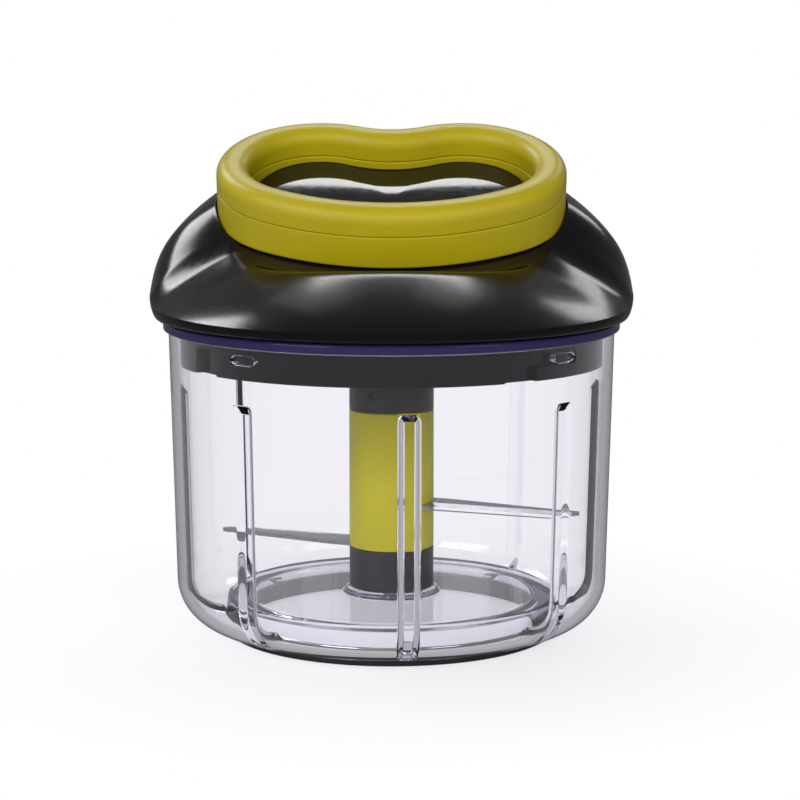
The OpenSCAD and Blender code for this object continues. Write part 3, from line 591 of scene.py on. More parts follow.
# %% [markdown]
# ## Handle ring
# The ring is moulded in two green halves that meet in a fine seam: the upper one has a full round crown for
# the fingers, the lower one straight sides. Each half is one section carried along the middle line. The
# little roundings on both sides of the seam make its dark line, so no line has to be painted.

# %% Handle halves
BAR_W, CROWN_H, CROWN_R, BASE_H, BASE_R = 9.3, 7.8, 4.0, 9.4, 0.7
SEAM_GAP, SEAM_ROUND = 0.07, 0.3
half = BAR_W / 2


def bar_sweep(corners):
    """A section of (outward, up, rounding) corners carried round the ring."""
    section = held(soft_outline(corners), True)
    skin = np.stack([in_seat(kidney(out), np.full(len(bar), up)) for out, up in section], 1)
    return skin, weave(skin, True)


piece("handle_top_half", *bar_sweep([
    (half, SEAM_GAP, SEAM_ROUND), (half, CROWN_H, CROWN_R), (-half, CROWN_H, CROWN_R),
    (-half, SEAM_GAP, SEAM_ROUND)]), "green_satin", "handle", ["handle_top"])
handle_base = piece("handle_bottom_half", *bar_sweep([
    (half, -BASE_H, BASE_R), (half, -SEAM_GAP, SEAM_ROUND), (-half, -SEAM_GAP, SEAM_ROUND),
    (-half, -BASE_H, BASE_R)]), "green_satin", "handle", ["handle_bottom"])

# %% [markdown]
# Under the ring, four screws sit in round pockets and the cord goes in through a hole at the back. These
# show as soon as the handle is pulled. A boolean cut with turned plugs is the honest way to make pockets in
# a finished skin, and it is applied at once so that nothing is left to work out later.

# %% Handle pockets
SCREW_AT, SCREW_POCKET_R, SCREW_POCKET = (-30, 70), 2.8, 2.0
BACK_V, CORD_R, CORD_AIR, CORD_HOLE = 24.0, 1.0, 0.25, 4.0
PLUG_SIDES = 40


def circle(radius, count=48):
    """Points round a circle about zero."""
    return polar(radius, np.radians(np.arange(count) * 360 / count), 0)[:, :2]


def at_cord(points):
    """Points about zero, moved to the cord's axis at the back of the handle's plane."""
    return in_seat(points[..., :2] + np.array([0, BACK_V]), points[..., 2])


def plug(places, radius, depth):
    """Round plugs that stand across the ring's underside."""
    points, faces, n = [], [], PLUG_SIDES
    for place in places:
        first = len(points)
        for up in (-BASE_H - 2, -BASE_H + depth):
            points += list(in_seat(np.array(place) + circle(radius, n), np.full(n, up)))
        faces += [(first + k, first + (k + 1) % n, first + n + (k + 1) % n, first + n + k) for k in range(n)]
        faces += [tuple(range(first, first + n)), tuple(range(first + n, first + 2 * n))]
    return closed_object("plug", points, faces)


def cut(target, tool):
    """Cuts the tool out of the target and takes the tool away."""
    step = target.modifiers.new("pocket", "BOOLEAN")
    step.object = tool
    step.operation = "DIFFERENCE"
    step.solver = "EXACT"
    bpy.context.view_layer.update()
    solved = target.evaluated_get(bpy.context.evaluated_depsgraph_get())
    cut_mesh = bpy.data.meshes.new_from_object(solved)
    target.modifiers.clear()
    target.data = cut_mesh
    cut_mesh.set_sharp_from_angle(angle=math.radians(CREASE))
    bpy.data.objects.remove(tool)


screw_places = [(side * (END_X + END_R * math.cos(at)), END_V + END_R * math.sin(at))
                for side in (-1, 1) for at in map(math.radians, SCREW_AT)]
cut(handle_base, plug(screw_places, SCREW_POCKET_R, SCREW_POCKET))
cut(handle_base, plug([(0, BACK_V)], CORD_R + CORD_AIR, CORD_HOLE))
print("handle pockets cut, faces now:", len(handle_base.data.polygons))

# %% [markdown]
# ## Lid dome
# The dome is one gloss moulding that wraps the handle like a collar, with round shoulders at the sides and
# back. A subdivided cage could be pushed about until it looks right, but then the handle's seat would no
# longer fit. So the wall is lofted from the round rim to an oval edge that follows the tilted seat, and the
# first thing needed is that edge: just below the seam at the shoulders, lower and further in at the front.

# %% Dome edge
DOME_R, DOME_Z, DOME_RIM, DOME_RIM_IN = 68.5, 90.5, 6.3, 2.5
SEAT_GAP, SEAT_FLOOR, SHOULDER = 0.35, -BASE_H - 0.3, -5.5
OVAL_POWER, OVAL_X, OVAL_Y = 2.6, 49.6 + SEAT_GAP + 0.6, 34.3
FRONT_IN, FRONT_END, FRONT_FADE = 5, 96, 24


def bare_front(a):
    """One in front, where the wall is bare, and none at the shoulders and back."""
    away = np.abs((np.degrees(a) + 90 + 180) % 360 - 180)
    return smooth((FRONT_END - away) / FRONT_FADE)


def edge_radius(a):
    """Plan radius of the dome's upper edge: a rounded oval just outside the handle, drawn in at the front."""
    across = (np.abs(np.cos(a)) / OVAL_X) ** OVAL_POWER
    deep = (np.abs(np.sin(a)) / OVAL_Y) ** OVAL_POWER
    return (across + deep) ** (-1 / OVAL_POWER) - FRONT_IN * bare_front(a)


def edge_height(a):
    """Height of the upper edge above the seam's plane, measured along the pull."""
    f = bare_front(a)
    return SHOULDER * (1 - f) + (SEAT_FLOOR - 0.1) * f


def edge_z(a):
    """Height of the upper edge in the frame."""
    return SEAM_Z + edge_height(a) / math.cos(TILT) + edge_radius(a) * np.sin(a) * math.tan(TILT)


seat_out = kidney(half + SEAT_GAP)
dome_a = np.arctan2(seat_out[:, 1], seat_out[:, 0])
for _ in range(6):
    top = in_seat(seat_out, edge_height(dome_a))
    dome_a = np.arctan2(top[:, 1], top[:, 0])
print("dome edge from", round(edge_z(dome_a).min(), 1), "to", round(edge_z(dome_a).max(), 1), "mm")

# %% [markdown]
# Between rim and edge the wall is a curve with two handles, like a pen stroke: full and round at the
# shoulders, straighter in front. The front has to climb at least as steeply as FLANK, or its gloss would
# mirror the green ring. So it rises to a soft crest before the handle, and behind the crest it dips toward
# the seat with the slope DISH.

# %% Dome wall formula
FLANK, DISH, CREST, DISH_AWAY = 0.53, 0.24, 0.7, 30
LOW_IN, LOW_UP = (0, 0.22), (0.56, 0.34)
HIGH_IN, HIGH_UP = (0.47, 0.62), (0.80, 0.66)


def rim_rise(a):
    """Height of the rounded rim, which a low wall above it limits."""
    return np.minimum(DOME_RIM, (0.4 - 0.2 * bare_front(a)) * (edge_z(a) - DOME_Z))


def mixed(pair, f):
    """The first value at the shoulders, the second in front."""
    return pair[0] + (pair[1] - pair[0]) * f


def wall_point(a, s):
    """Radius and height on the wall at angle a, from the rim at s = 0 to the edge at s = 1."""
    f, rt, zt = bare_front(a), edge_radius(a), edge_z(a)
    z0 = DOME_Z + rim_rise(a)
    rise, run = zt - z0, DOME_R - rt
    flat = FLANK * run - rise
    rise = rise + f * (flat + np.sqrt(flat ** 2 + 1)) / 2
    first, second, third = 3 * s * (1 - s) ** 2, 3 * s ** 2 * (1 - s), s ** 3
    r = DOME_R - (first * mixed(LOW_IN, f) + second * mixed(HIGH_IN, f) + third) * run
    z = z0 + (first * mixed(LOW_UP, f) + second * mixed(HIGH_UP, f) + third) * rise
    dish = zt + DISH * (r - rt) + DISH_AWAY * (1 - f)
    return r, np.minimum(z, dish) - CREST * np.log1p(np.exp(-np.abs(z - dish) / CREST)) * f


front_top = wall_point(np.radians([-90.0]), np.linspace(0, 1, 101))[1].max()
print("crest of the bare front at", round(front_top, 1), "mm")

# %% [markdown]
# The rings go in one order, from the underside of the rim, up the wall, over the lip into the seat groove,
# across its floor, up the pedestal and into the recess for the inlay. Where the shoulder stands proud of the
# seat, a few rings roll its edge over, because a moulded edge this thin would otherwise look like paper.

# %% Dome skin
DOME_T, INLAY_TOP, INLAY_T = 2.4, -3.6, 2.0


def round_ring(r, z):
    """A ring of the dome at each handle angle, from plan radius and height."""
    return polar(r, dome_a, z)


def seat_ring(grow, up):
    """A ring that follows the handle's line."""
    return in_seat(kidney(grow), up + 0 * dome_a)


seat_up = np.maximum(edge_height(dome_a), SEAT_FLOOR + 0.02)
dome_rings = []
for turn in np.radians(np.arange(0, 91, 9)):
    rim_r = DOME_R - DOME_RIM_IN * (1 - math.sin(turn))
    dome_rings.append(round_ring(rim_r, DOME_Z + rim_rise(dome_a) * (1 - math.cos(turn))))
for s in np.linspace(0, 1, 49)[1:]:
    dome_rings.append(round_ring(*wall_point(dome_a, s)))
outer, inner = dome_rings[-1], in_seat(seat_out, seat_up)
pull_way = np.array([0, -math.sin(TILT), math.cos(TILT)])
proud = np.clip(seat_up - SEAT_FLOOR, 0, 1)[:, None]
for share, lift in ((0.3, 0.10), (0.65, 0.06), (0.9, -0.08)):
    dome_rings.append(outer + share * (inner - outer) + lift * proud * pull_way)
seat_w = half + SEAT_GAP
for share in (0.94, 0.75, 0.4, 0.08):
    dome_rings.append(seat_ring(seat_w, SEAT_FLOOR + share * (seat_up - SEAT_FLOOR)))
for grow, up in ((seat_w - 0.4, SEAT_FLOOR), (0.4 - seat_w, SEAT_FLOOR), (-seat_w, SEAT_FLOOR + 0.4),
                 (-seat_w, INLAY_TOP - 1.2), (-seat_w - 0.1, INLAY_TOP - 0.9),
                 (-seat_w - 0.35, INLAY_TOP - 0.8),
                 (-half - 1.2, INLAY_TOP - 0.8), (-half - 1.2, INLAY_TOP - INLAY_T)):
    dome_rings.append(seat_ring(grow, up))
print("dome rings outside:", len(dome_rings))

# %% [markdown]
# Inside, the dome is hollow for the drive. The inner wall is the outer one moved in by the wall's thickness
# and cut off flat under the seat, just as the solid's hollow is. Both ends of the stack of rings are closed
# with a fan of triangles: one in the recess under the inlay, one at the ceiling.

# %% Dome hollow
ROOF_RINGS, DOME_MOUTH = 17, DOME_R - DOME_RIM_IN - DOME_T


def ceiling_z(y):
    """Height of the flat ceiling under the seat."""
    return SEAM_Z + (SEAT_FLOOR - DOME_T) / math.cos(TILT) + y * math.tan(TILT)


def capped(rings, last_pole, first_pole):
    """Points and faces of a stack of rings whose last and first ring are closed by fans."""
    skin = np.stack(rings, 1)
    around, deep = skin.shape[:2]
    faces = weave(skin, False)
    for i in range(around):
        j = (i + 1) % around
        faces.append((i * deep + deep - 1, j * deep + deep - 1, around * deep))
        faces.append((j * deep, i * deep, around * deep + 1))
    return np.vstack([skin.reshape(-1, 3), last_pole, first_pole]), faces


hollow_rings = []
for s in np.linspace(1, 0, ROOF_RINGS):
    r, z = wall_point(dome_a, s)
    r0, z0 = wall_point(dome_a, max(s - 0.02, 0))
    r1, z1 = wall_point(dome_a, min(s + 0.02, 1))
    slope = np.hypot(r1 - r0, z1 - z0)
    r, z = r - DOME_T * (z1 - z0) / slope, z + DOME_T * (r1 - r0) / slope
    z = np.minimum(z, ceiling_z(r * np.sin(dome_a)))
    hollow_rings.append(round_ring(np.minimum(r, DOME_R - DOME_T), np.maximum(z, DOME_Z + 1)))
for mouth, up in ((DOME_MOUTH, 2), (DOME_MOUTH, 0.3), (DOME_MOUTH + 0.3, 0)):
    hollow_rings.append(round_ring(mouth, DOME_Z + up))
recess = in_seat(np.zeros(2), INLAY_TOP - INLAY_T)
dome_parts = [capped(hollow_rings + dome_rings, recess, (0, 0, ceiling_z(0)))]
print("dome wall and hollow:", len(dome_parts[0][1]), "faces")

# %% [markdown]
# The cord decides where things hang inside the lid. It leaves the drum along a tangent toward the eyelet,
# which sits under the handle's back, and the guide pulley stands where that run has to turn upward. So the
# tangent is worked out first, the same way as for the solids.

# %% The cord's way through the lid
EYE_LOW, PULLEY_R, WIND_R, WIND_TOP = -13.0, 5.0, 15.05, 95.6
UP = np.array([0, 0, 1.0])
eyelet_low = at_cord((EYE_LOW - 1) * UP)
touch = math.acos(WIND_R / eyelet_low[1])
tangent = WIND_R * np.array([-math.sin(touch), math.cos(touch)])
RUN_WAY = np.array([0, eyelet_low[1]]) - tangent
RUN_WAY /= np.linalg.norm(RUN_WAY)
PULLEY = np.array([0, eyelet_low[1], WIND_TOP]) + PULLEY_R * np.array([-RUN_WAY[0], -RUN_WAY[1], 1])
print("guide pulley at", np.round(PULLEY, 1), "mm")

# %% [markdown]
# Four screw posts, the boss of the drum's axle, the boss of the cord's eyelet and two cheeks for the guide
# pulley hang from the ceiling. They are stubs with a soft lower edge that end inside the wall's thickness,
# and they join the dome's own mesh, because on the real lid they are the same shot of plastic.

# %% Dome stubs
POST_R, POST_W, POST_AZ, POST_IN = 47.0, 3.6, (20, 160, 200, 340), 1.4
AXLE_BOSS_R, EYE_BOSS_R, STUB_IN = 6.5, 4.6, 0.8
DECK_TOP, CHEEK_OUT, CHEEK_LOW = 82.8, 3.2, 3.4
CHEEK_PLAN = [(-3, -1.05, 0.4), (3, -1.05, 0.4), (3, 1.05, 0.4), (-3, 1.05, 0.4)]


def stub(outline, low, high):
    """An upright stub with a soft lower edge from a closed plan outline round its own middle."""
    levels = ((0.0, low), (0.9, low), (1.0, low + 0.4), (1.0, low + 0.8), (1.0, high), (0.0, high))
    rings = [np.column_stack([outline * grow, np.full(len(outline), up)]) for grow, up in levels]
    skin = np.stack(rings, 1)
    return skin, weave(skin, False)


def roof_z(x, y):
    """Height of the hollow's roof over a place on the deck."""
    column = np.abs(np.angle(np.exp(1j * (dome_a - math.atan2(y, x))))).argmin()
    roof = np.array([ring[column] for ring in hollow_rings[:ROOF_RINGS]])
    return float(np.interp(math.hypot(x, y), np.hypot(roof[:, 0], roof[:, 1]), roof[:, 2]))


for az in np.radians(POST_AZ):
    x, y = POST_R * math.cos(az), POST_R * math.sin(az)
    lowest = min(roof_z(x + dx, y + dy) for dx, dy in circle(POST_W, 12))
    skin, faces = stub(circle(POST_W), DECK_TOP + 0.05, lowest + POST_IN)
    dome_parts.append((skin + np.array([x, y, 0]), faces))
axle_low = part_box("spring_cover")[1].z / MM + 0.05
dome_parts.append(stub(circle(AXLE_BOSS_R), axle_low, ceiling_z(0) + STUB_IN))
skin, faces = stub(circle(EYE_BOSS_R), EYE_LOW, SEAT_FLOOR - 1.2)
dome_parts.append((at_cord(skin), faces))
for side in (-1, 1):
    skin, faces = stub(soft_outline(CHEEK_PLAN), PULLEY[2] - CHEEK_LOW, ceiling_z(PULLEY[1]) + STUB_IN)
    along, across = skin[..., 0], skin[..., 1] + side * CHEEK_OUT
    place = np.stack([along * RUN_WAY[0] - across * RUN_WAY[1], along * RUN_WAY[1] + across * RUN_WAY[0]], -1)
    dome_parts.append((np.concatenate([place + PULLEY[:2], skin[..., 2:]], -1), faces))


def joined(parts):
    """One set of points and faces from several."""
    points, faces = [], []
    for skin, weft in parts:
        first = sum(len(p) for p in points)
        points.append(np.reshape(skin, (-1, 3)))
        faces += [tuple(k + first for k in face) for face in weft]
    return np.vstack(points), faces


piece("lid_dome_shell", *joined(dome_parts), "black_gloss", "lid", ["lid_dome"], crease=40)

# %% [markdown]
# ## Inlay
# A gloss black plate fills the ring's inside. A dead flat plate would mirror one even tone, so it has the
# slight crown that such inlays have and leans a little to the front, which lets it catch the light from
# behind. Rings of the kidney line, drawn in toward the middle, give that crown.

# %% Inlay
INLAY_IN, INLAY_LIFT, INLAY_CROWN, INLAY_TIP = half + 1.25, 0.7, 0.5, 0.087
INLAY_EDGE = 0.65
plate_low, plate_top = INLAY_TOP - INLAY_T + 0.02, INLAY_TOP + INLAY_LIFT


def inlay_ring(plan, up):
    """A ring of the plate's top, which leans to the front."""
    return in_seat(plan, up + INLAY_TIP * plan[:, 1])


inlay_rings = [seat_ring(-INLAY_IN, plate_low)]
for inset, drop in ((0, 0.55), (0.1, 0.25), (0.3, 0.07), (INLAY_EDGE, 0.0)):
    inlay_rings.append(inlay_ring(kidney(-INLAY_IN - inset), plate_top - drop))
for share in (0.97, 0.9, 0.75, 0.55, 0.35, 0.15):
    crown = plate_top + INLAY_CROWN * (1 - share ** 2)
    inlay_rings.append(inlay_ring(kidney(-INLAY_IN - INLAY_EDGE) * share, crown))
middle_top, middle_low = in_seat(np.zeros((2, 2)), np.array([plate_top + INLAY_CROWN, plate_low]))
piece("inlay_plate", *capped(inlay_rings, middle_top, middle_low), "inlay_gloss", "lid", ["top_plate"])

# %% [markdown]
# ## Cord
# The pull cord is a thin twisted line. Its four strands are a lobed section that turns as it goes, so the
# twist also holds when the cord is drawn out. The fibres are left to the finish: fine noise in colour, gloss
# and relief.

# %% Cord finish and strands
FIBRE_SIZE, FIBRE_DEPTH, FIBRE_DARK, FIBRE_GLOSS = 0.35, 0.05, 0.8, (0.75, 0.9)


def cord_finish(name, colour):
    """Dull fibres."""
    finish, _, skin, place = new_finish(name)
    fibres = noise(place, FIBRE_SIZE, 4)
    dark = [c * FIBRE_DARK for c in colour]
    coat(skin, fibres, fibres, dark, colour, FIBRE_GLOSS, FIBRE_DEPTH)
    return finish


def strands(length, radius=CORD_R, pitch=7.0, lobes=4, points=20):
    """Turning lobed sections at the given lengths along a cord."""
    turn = np.radians(np.arange(points) * 360 / points)
    twist = 2 * math.pi * length[:, None] / pitch
    r = radius * (0.92 + 0.08 * np.cos(lobes * (turn - twist)))
    return polar(r, turn, 0)[..., :2]


finishes["cord"] = cord_finish("cord_fibre", (0.72, 0.71, 0.66))
print("finishes in all:", len(finishes))

# %% [markdown]
# Cord, knot and spring strip are all a section carried along a route. The section needs a direction that
# counts as across: a first guess, made square to the route at every step. Open routes end in a point on both
# sides, closed ones run into themselves. The turns of cord on the drum are the first use of it.

# %% Sweeping along a route
def swept(route, section, side, closed=False):
    """A section carried along a route; section is (steps, points, 2), side a first guess of across."""
    route = np.asarray(route, float)
    way = np.gradient(route, axis=0) if not closed else np.roll(route, -1, 0) - np.roll(route, 1, 0)
    way /= np.linalg.norm(way, axis=1)[:, None]
    across = side - (way * side).sum(1)[:, None] * way
    across /= np.linalg.norm(across, axis=1)[:, None]
    up = np.cross(way, across)
    skin = route[:, None] + section[..., :1] * across[:, None] + section[..., 1:] * up[:, None]
    skin = skin.transpose(1, 0, 2)
    if not closed:
        ends = np.broadcast_to(route[[0, -1]], (skin.shape[0], 2, 3))
        skin = np.concatenate([ends[:, :1], skin, ends[:, 1:]], 1)
    return skin, weave(skin, closed)


def lengths(route):
    """Length along a route at each of its points."""
    return np.concatenate([[0], np.cumsum(np.linalg.norm(np.diff(route, axis=0), axis=1))])


WIND_TURNS, WIND_PITCH = 3.2, 2.6
wind_az = math.atan2(tangent[1], tangent[0])
turns = np.linspace(0, WIND_TURNS, 260)
az = np.radians(math.degrees(wind_az) + 360 * turns)
winding = polar(WIND_R, az, WIND_TOP - WIND_PITCH * turns)
piece("cord_on_drum", *swept(winding, strands(lengths(winding)), UP), "cord", "drum", ["cord_winding"])

# %% [markdown]
# From the drum the cord runs off along the tangent, turns up round the guide pulley and leaves through the
# eyelet. The free piece above the eyelet belongs to both lid and handle: it is made with the points it needs
# when fully drawn out, packed close while the handle rests in its seat. A knot holds it in the handle.

# %% Cord run, lead and knot
RUN_START, PULL, LEAD_HIGH, KNOT_SIZE, KNOT_R = 0.6, 300.0, -2.6, 0.58, 0.85
run_way = np.array([*RUN_WAY, 0])
reach = np.linalg.norm(PULLEY[:2] - tangent)
run = [np.array([*tangent, WIND_TOP]) + run_way * d for d in np.linspace(RUN_START, reach - 0.3, 24)]
run += [PULLEY + PULLEY_R * (math.sin(t) * run_way - math.cos(t) * UP)
        for t in np.radians(np.arange(0, 91, 6))]
run += [np.array([0, eyelet_low[1], z]) for z in np.linspace(PULLEY[2] + 0.8, eyelet_low[2] - 2, 24)]
run += [eyelet_low + pull_way * d for d in np.linspace(0.8, SEAT_FLOOR - EYE_LOW + 0.2, 8)]
run_side = np.array([-RUN_WAY[1], RUN_WAY[0], 0])
piece("cord_to_eyelet", *swept(run, strands(lengths(run)), run_side), "cord", "lid", ["cord_run"])

lead_low = SEAT_FLOOR - 0.3
fine = np.linspace(0, 1, 4001)
drawn = np.linspace(0, 1, 361)
packed = np.interp(drawn, smooth(fine), fine)
lead_up = lead_low + packed * (LEAD_HIGH - lead_low)
lead = at_cord(lead_up[:, None] * UP)
lead_skin, lead_faces = swept(lead, strands(drawn * PULL), np.array([1.0, 0, 0]))
lead_piece = piece("cord_lead_line", lead_skin, lead_faces, "cord", None, ["cord_lead"])
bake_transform(lead_piece)

t = np.linspace(0, 2 * math.pi, 160, endpoint=False)
knot = np.stack([np.sin(t) + 2 * np.sin(2 * t), np.cos(t) - 2 * np.cos(2 * t), -1.4 * np.sin(3 * t)], 1)
knot = at_cord(knot * KNOT_SIZE + LEAD_HIGH * UP)
knot_skin, knot_faces = swept(knot, strands(np.zeros(len(knot)), KNOT_R), np.array([0.3, 0.2, 1.0]), True)
piece("cord_end_knot", knot_skin, knot_faces, "cord", "handle", ["cord_knot"])

# %% [markdown]
# ## Return spring, gasket and eyelet
# The spring is a flat steel strip wound in a spiral between axle and drum. The gasket is a soft ring on the
# bowl's flange, and the eyelet a smooth sleeve with a rounded mouth so that the cord doesn't chafe. All three
# are small sections carried along a line, like the pieces before.

# %% Spring, gasket, eyelet
SPRING_TURNS, SPRING_R0, SPRING_R1, SPRING_W, SPRING_SOFT = 3.5, 3.4, 11.4, 0.5, 0.15
GASKET_IN, GASKET_OUT, GASKET_LOW, GASKET_TOP, GASKET_R = 61.3, 62.9, 89.98, 91.4, 0.45
EYE_OUT, EYE_TOP, EYE_SIDES = 2.6, SEAT_FLOOR + 0.16, 64
spring_z0, spring_z1 = (corner.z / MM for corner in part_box("return_spring"))
spring_mid, up, wide = (spring_z0 + spring_z1) / 2, (spring_z1 - spring_z0) / 2, SPRING_W / 2
coil = np.linspace(0, 1, 220)
coil_az = np.radians(90 + 360 * SPRING_TURNS * coil)
coil_r = SPRING_R0 + (SPRING_R1 - SPRING_R0) * coil
tail = np.array([[0, y, spring_mid] for y in np.linspace(-2.2, 2.6, 6)])
spiral = np.vstack([tail, polar(coil_r, coil_az, spring_mid)])
strip = soft_outline([(x, y, SPRING_SOFT) for x, y in ((up, wide), (-up, wide), (-up, -wide), (up, -wide))])
strip = np.broadcast_to(strip, (len(spiral), *strip.shape))
piece("return_spring_strip", *swept(spiral, strip, UP), "spring_steel", "lid", ["return_spring"])
turned_piece("lid_gasket_ring", [
    (GASKET_IN, GASKET_LOW, GASKET_R), (GASKET_OUT, GASKET_LOW, GASKET_R), (GASKET_OUT, GASKET_TOP, GASKET_R),
    (GASKET_IN, GASKET_TOP, GASKET_R)], "gasket_rubber", "lid", ["lid_gasket"], count=240)
eyelet_line = held(soft_outline([
    (CORD_R + CORD_AIR, EYE_LOW, 0.3), (EYE_OUT, EYE_LOW, 0.3), (EYE_OUT, EYE_TOP, 0.5),
    (CORD_R + CORD_AIR, EYE_TOP, 0.6)]), True)
eyelet_skin = at_cord(turned(eyelet_line, np.arange(EYE_SIDES) * 360 / EYE_SIDES))
eyelet_faces = weave(eyelet_skin, True)
piece("cord_eyelet_sleeve", eyelet_skin, eyelet_faces, "white_plastic", "lid", ["cord_eyelet"])

# %% [markdown]
# ## Solids that stay
# Pins, screws, the drum, the clutch, the blades and the lid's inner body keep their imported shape. Each takes
# the finish of its slot in the record, so the list of slots is the only place where finishes are chosen.

# %% Finishes on the solids
for part in frame["record"]["subparts"]:
    solid = frame["nodes"][part["node"]]
    solid.data.materials.clear()
    solid.data.materials.append(finishes[part["material_slot"]])

# %% [markdown]
# ## How the studio is seen
# In a product studio the camera looks at white paper, also through the clear bowl, while gloss black mirrors
# the dim room around it. Light that is mirrored inside the clear plastic sees something between. Light paths
# tell these kinds of looking apart, so floor and room can give each its own brightness.

# %% Kinds of looking
def reckon(operation, first, second):
    """One step of arithmetic between a field and a number or another field."""
    step = add(first, "Math")
    step.operation = operation
    wire(first, step.inputs[0])
    if isinstance(second, float):
        step.inputs[1].default_value = second
    else:
        wire(second, step.inputs[1])
    return step.outputs["Value"]


def looks(nodes):
    """Fields for looking straight or through clear plastic, by a mirror, and by a mirror inside it."""
    ray = nodes.new("ShaderNodeLightPath")
    bounced = reckon("ADD", ray.outputs["Diffuse Depth"], ray.outputs["Glossy Depth"])
    straight = reckon("LESS_THAN", bounced, 0.5)
    straight = reckon("MULTIPLY", ray.outputs["Is Transmission Ray"], straight)
    straight = reckon("MAXIMUM", ray.outputs["Is Camera Ray"], straight)
    passed = reckon("GREATER_THAN", ray.outputs["Transmission Depth"], 0.5)
    mirrored = reckon("GREATER_THAN", ray.outputs["Glossy Depth"], 0.5)
    clean = reckon("LESS_THAN", ray.outputs["Diffuse Depth"], 0.5)
    inside = reckon("MULTIPLY", reckon("MULTIPLY", passed, mirrored), clean)
    return straight, mirrored, inside


# %% [markdown]
# ## Floor
# The chopper stands on a pale floor that turns to the white of the background a little way out. Close to the
# foot a third of the floor's own light and shadow is kept, enough for a soft shadow. Mirrored in the lid or
# inside the bowl's wall the floor is darker, as paper is where the lamps don't reach.

# %% Floor
FLOOR_Z0, FLOOR_SIDES = -0.0002, 64
FLOOR_WHITE, WHITE_FROM, WHITE_TO = 0.65, 0.05, 0.14
FLOOR_MIRRORED, FLOOR_INSIDE = 0.12, 0.5
floor_line = np.array([(r, FLOOR_Z0) for r in (0, 0.06, 0.1, 0.2, 0.4, 0.8, 1.6, 3.0, 6.0)])
floor_points = turned(floor_line, np.arange(FLOOR_SIDES) * 360 / FLOOR_SIDES)
floor_mesh = bpy.data.meshes.new("studio_floor")
floor_mesh.from_pydata(floor_points.reshape(-1, 3).tolist(), [], weave(floor_points, False))
floor = placed("studio_floor", floor_mesh)
pale, nodes, skin, place = new_finish("floor_pale")
put(skin, {"Base Color": (0.9, 0.9, 0.9, 1), "Roughness": 0.8, "Specular IOR Level": 0.1})
far = add(place, "VectorMath")
far.operation = "LENGTH"
wire(place, far.inputs[0])
fade = between(far.outputs["Value"], FLOOR_WHITE, 1, WHITE_FROM, WHITE_TO)
straight, mirrored, inside = looks(nodes)
shown = reckon("MULTIPLY", fade, straight)
white = nodes.new("ShaderNodeEmission")
bright = reckon("MULTIPLY", inside, FLOOR_INSIDE)
bright = reckon("MAXIMUM", between(mirrored, 1.0, FLOOR_MIRRORED, 0, 1), bright)
wire(bright, white.inputs["Strength"])
shown = reckon("MAXIMUM", shown, mirrored)
show_either(nodes, shown, skin.outputs["BSDF"], white.outputs["Emission"])
floor_mesh.materials.append(pale)
print("floor disc out to", floor_line[-1, 0], "m")

# %% [markdown]
# ## Studio light
# On gloss black only the mirrored boxes are seen, so each box is set by how bright it looks in a mirror. The
# two at the back left and right draw the soft patches on the lid's flanks, and the wide one at the back
# draws the band in the inlay. The front fill lights the green and the shaft without being mirrored at all.

# %% Studio light
AIM = np.array([0, 0, 0.08])


def soft_box(name, place, width, height, radiance):
    """A rectangular lamp that faces the chopper; radiance is how bright it looks in a mirror."""
    lamp = bpy.data.lights.new(name, "AREA")
    lamp.shape = "RECTANGLE"
    lamp.size, lamp.size_y = width, height
    lamp.energy = radiance * width * height * math.pi
    holder = placed(name, lamp)
    holder.location = place
    aim = AIM - np.array(place)
    pitch = math.atan2(aim[2], math.hypot(aim[0], aim[1]))
    holder.rotation_euler = (math.pi / 2 + pitch, 0, math.atan2(-aim[0], aim[1]))
    return holder


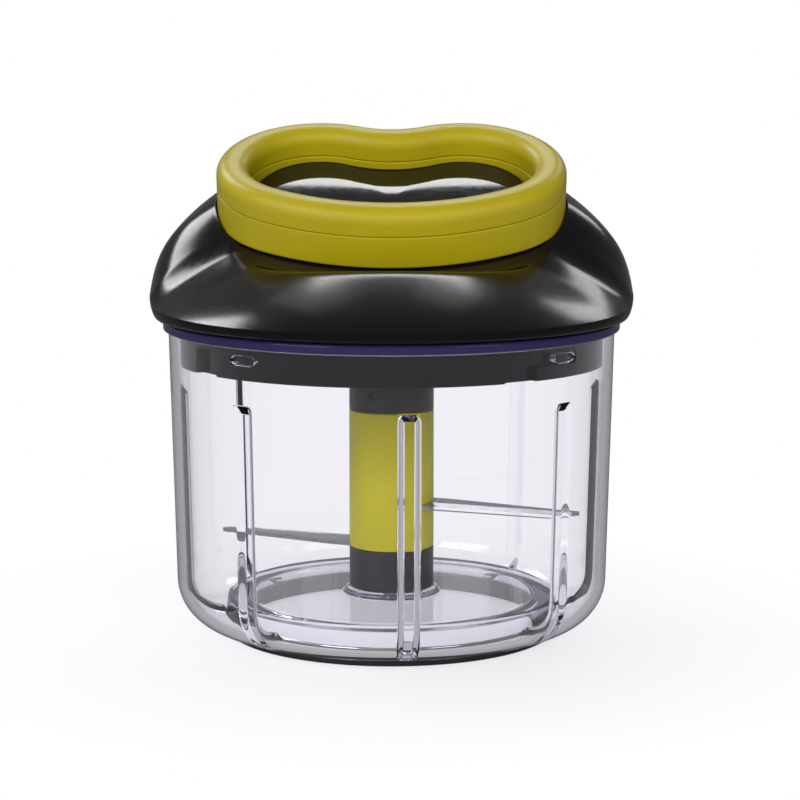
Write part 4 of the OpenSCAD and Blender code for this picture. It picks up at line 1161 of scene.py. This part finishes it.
soft_box("left_front_box", (-0.95, -0.95, 0.75), 0.8, 0.9, 2.8)
soft_box("right_front_box", (0.95, -1.0, 0.70), 0.6, 0.8, 1.6)
soft_box("left_back_box", (-0.81, 0.62, 1.02), 0.40, 0.40, 11.0)
soft_box("right_back_box", (0.62, 0.85, 0.82), 0.26, 0.28, 4.5)
soft_box("back_box", (0, 0.76, 1.02), 0.56, 0.19, 7.5)
soft_box("left_top_box", (-0.30, 0.69, 1.16), 0.20, 0.36, 0.8)
soft_box("right_top_box", (0.23, 0.70, 1.18), 0.20, 0.34, 0.8)
fill = soft_box("front_fill", (0, -2.0, 0.85), 2.0, 1.2, 6.2)
fill.visible_glossy = False
fill.visible_transmission = False

# %% [markdown]
# The room around is dim, a little brighter behind than in front, so that gloss black stays black. Looked at
# through the bowl the backdrop is white straight behind and greyer toward the sides, which draws the bowl's
# edges. Looked at past the chopper it is always white.

# %% Room
room = bpy.data.worlds.new("studio_room")
bpy.context.scene.world = room
room.use_nodes = True
nodes = room.node_tree.nodes
sky = put(nodes["Background"], {"Color": (1, 1, 1, 1)})
way = nodes.new("ShaderNodeSeparateXYZ")
wire(nodes.new("ShaderNodeTexCoord").outputs["Generated"], way.inputs["Vector"])
room_level = between(way.outputs["Y"], 0.08, 0.20, -0.25, 0.5)
aside = reckon("ADD", way.outputs["Y"], reckon("MULTIPLY", way.outputs["X"], 0.3))
paper = between(aside, 0.50, 1.0, 0.80, 0.93)
paper = reckon("MAXIMUM", paper, nodes.new("ShaderNodeLightPath").outputs["Is Camera Ray"])
straight, _, inside = looks(nodes)
inside_level = between(way.outputs["X"], 0.60, 0.30, -0.3, 0.3)
inside = reckon("MULTIPLY", inside, inside_level)
room_level = reckon("MAXIMUM", room_level, inside)
level = nodes.new("ShaderNodeMix")
level.data_type = "FLOAT"
wire(straight, level.inputs["Factor"])
wire(room_level, level.inputs["A"])
wire(paper, level.inputs["B"])
wire(level.outputs["Result"], sky.inputs["Strength"])
print("room:", room.name, "with", len(nodes), "nodes")

# %% [markdown]
# ## Camera
# The photograph was taken from in front with a long lens, a little above the lid and looking down about
# eight degrees. The place and lens were fitted to the widths of the flange, the shaft and the foot ring; the
# small sideways shift puts the chopper's axis where it stands in the picture.

# %% Camera
lens = bpy.data.cameras.new("photo_camera")
lens.lens = 111.3
lens.sensor_width = 36
lens.shift_x = 0.0106
camera = placed("photo_camera", lens)
camera.location = (0, -0.7, 0.17)
camera.rotation_euler = (math.radians(90 - 8.44), 0, 0)
bpy.context.scene.camera = camera
bpy.context.scene.view_settings.view_transform = "Standard"
print("camera field of view:", round(math.degrees(lens.angle), 1), "degrees")
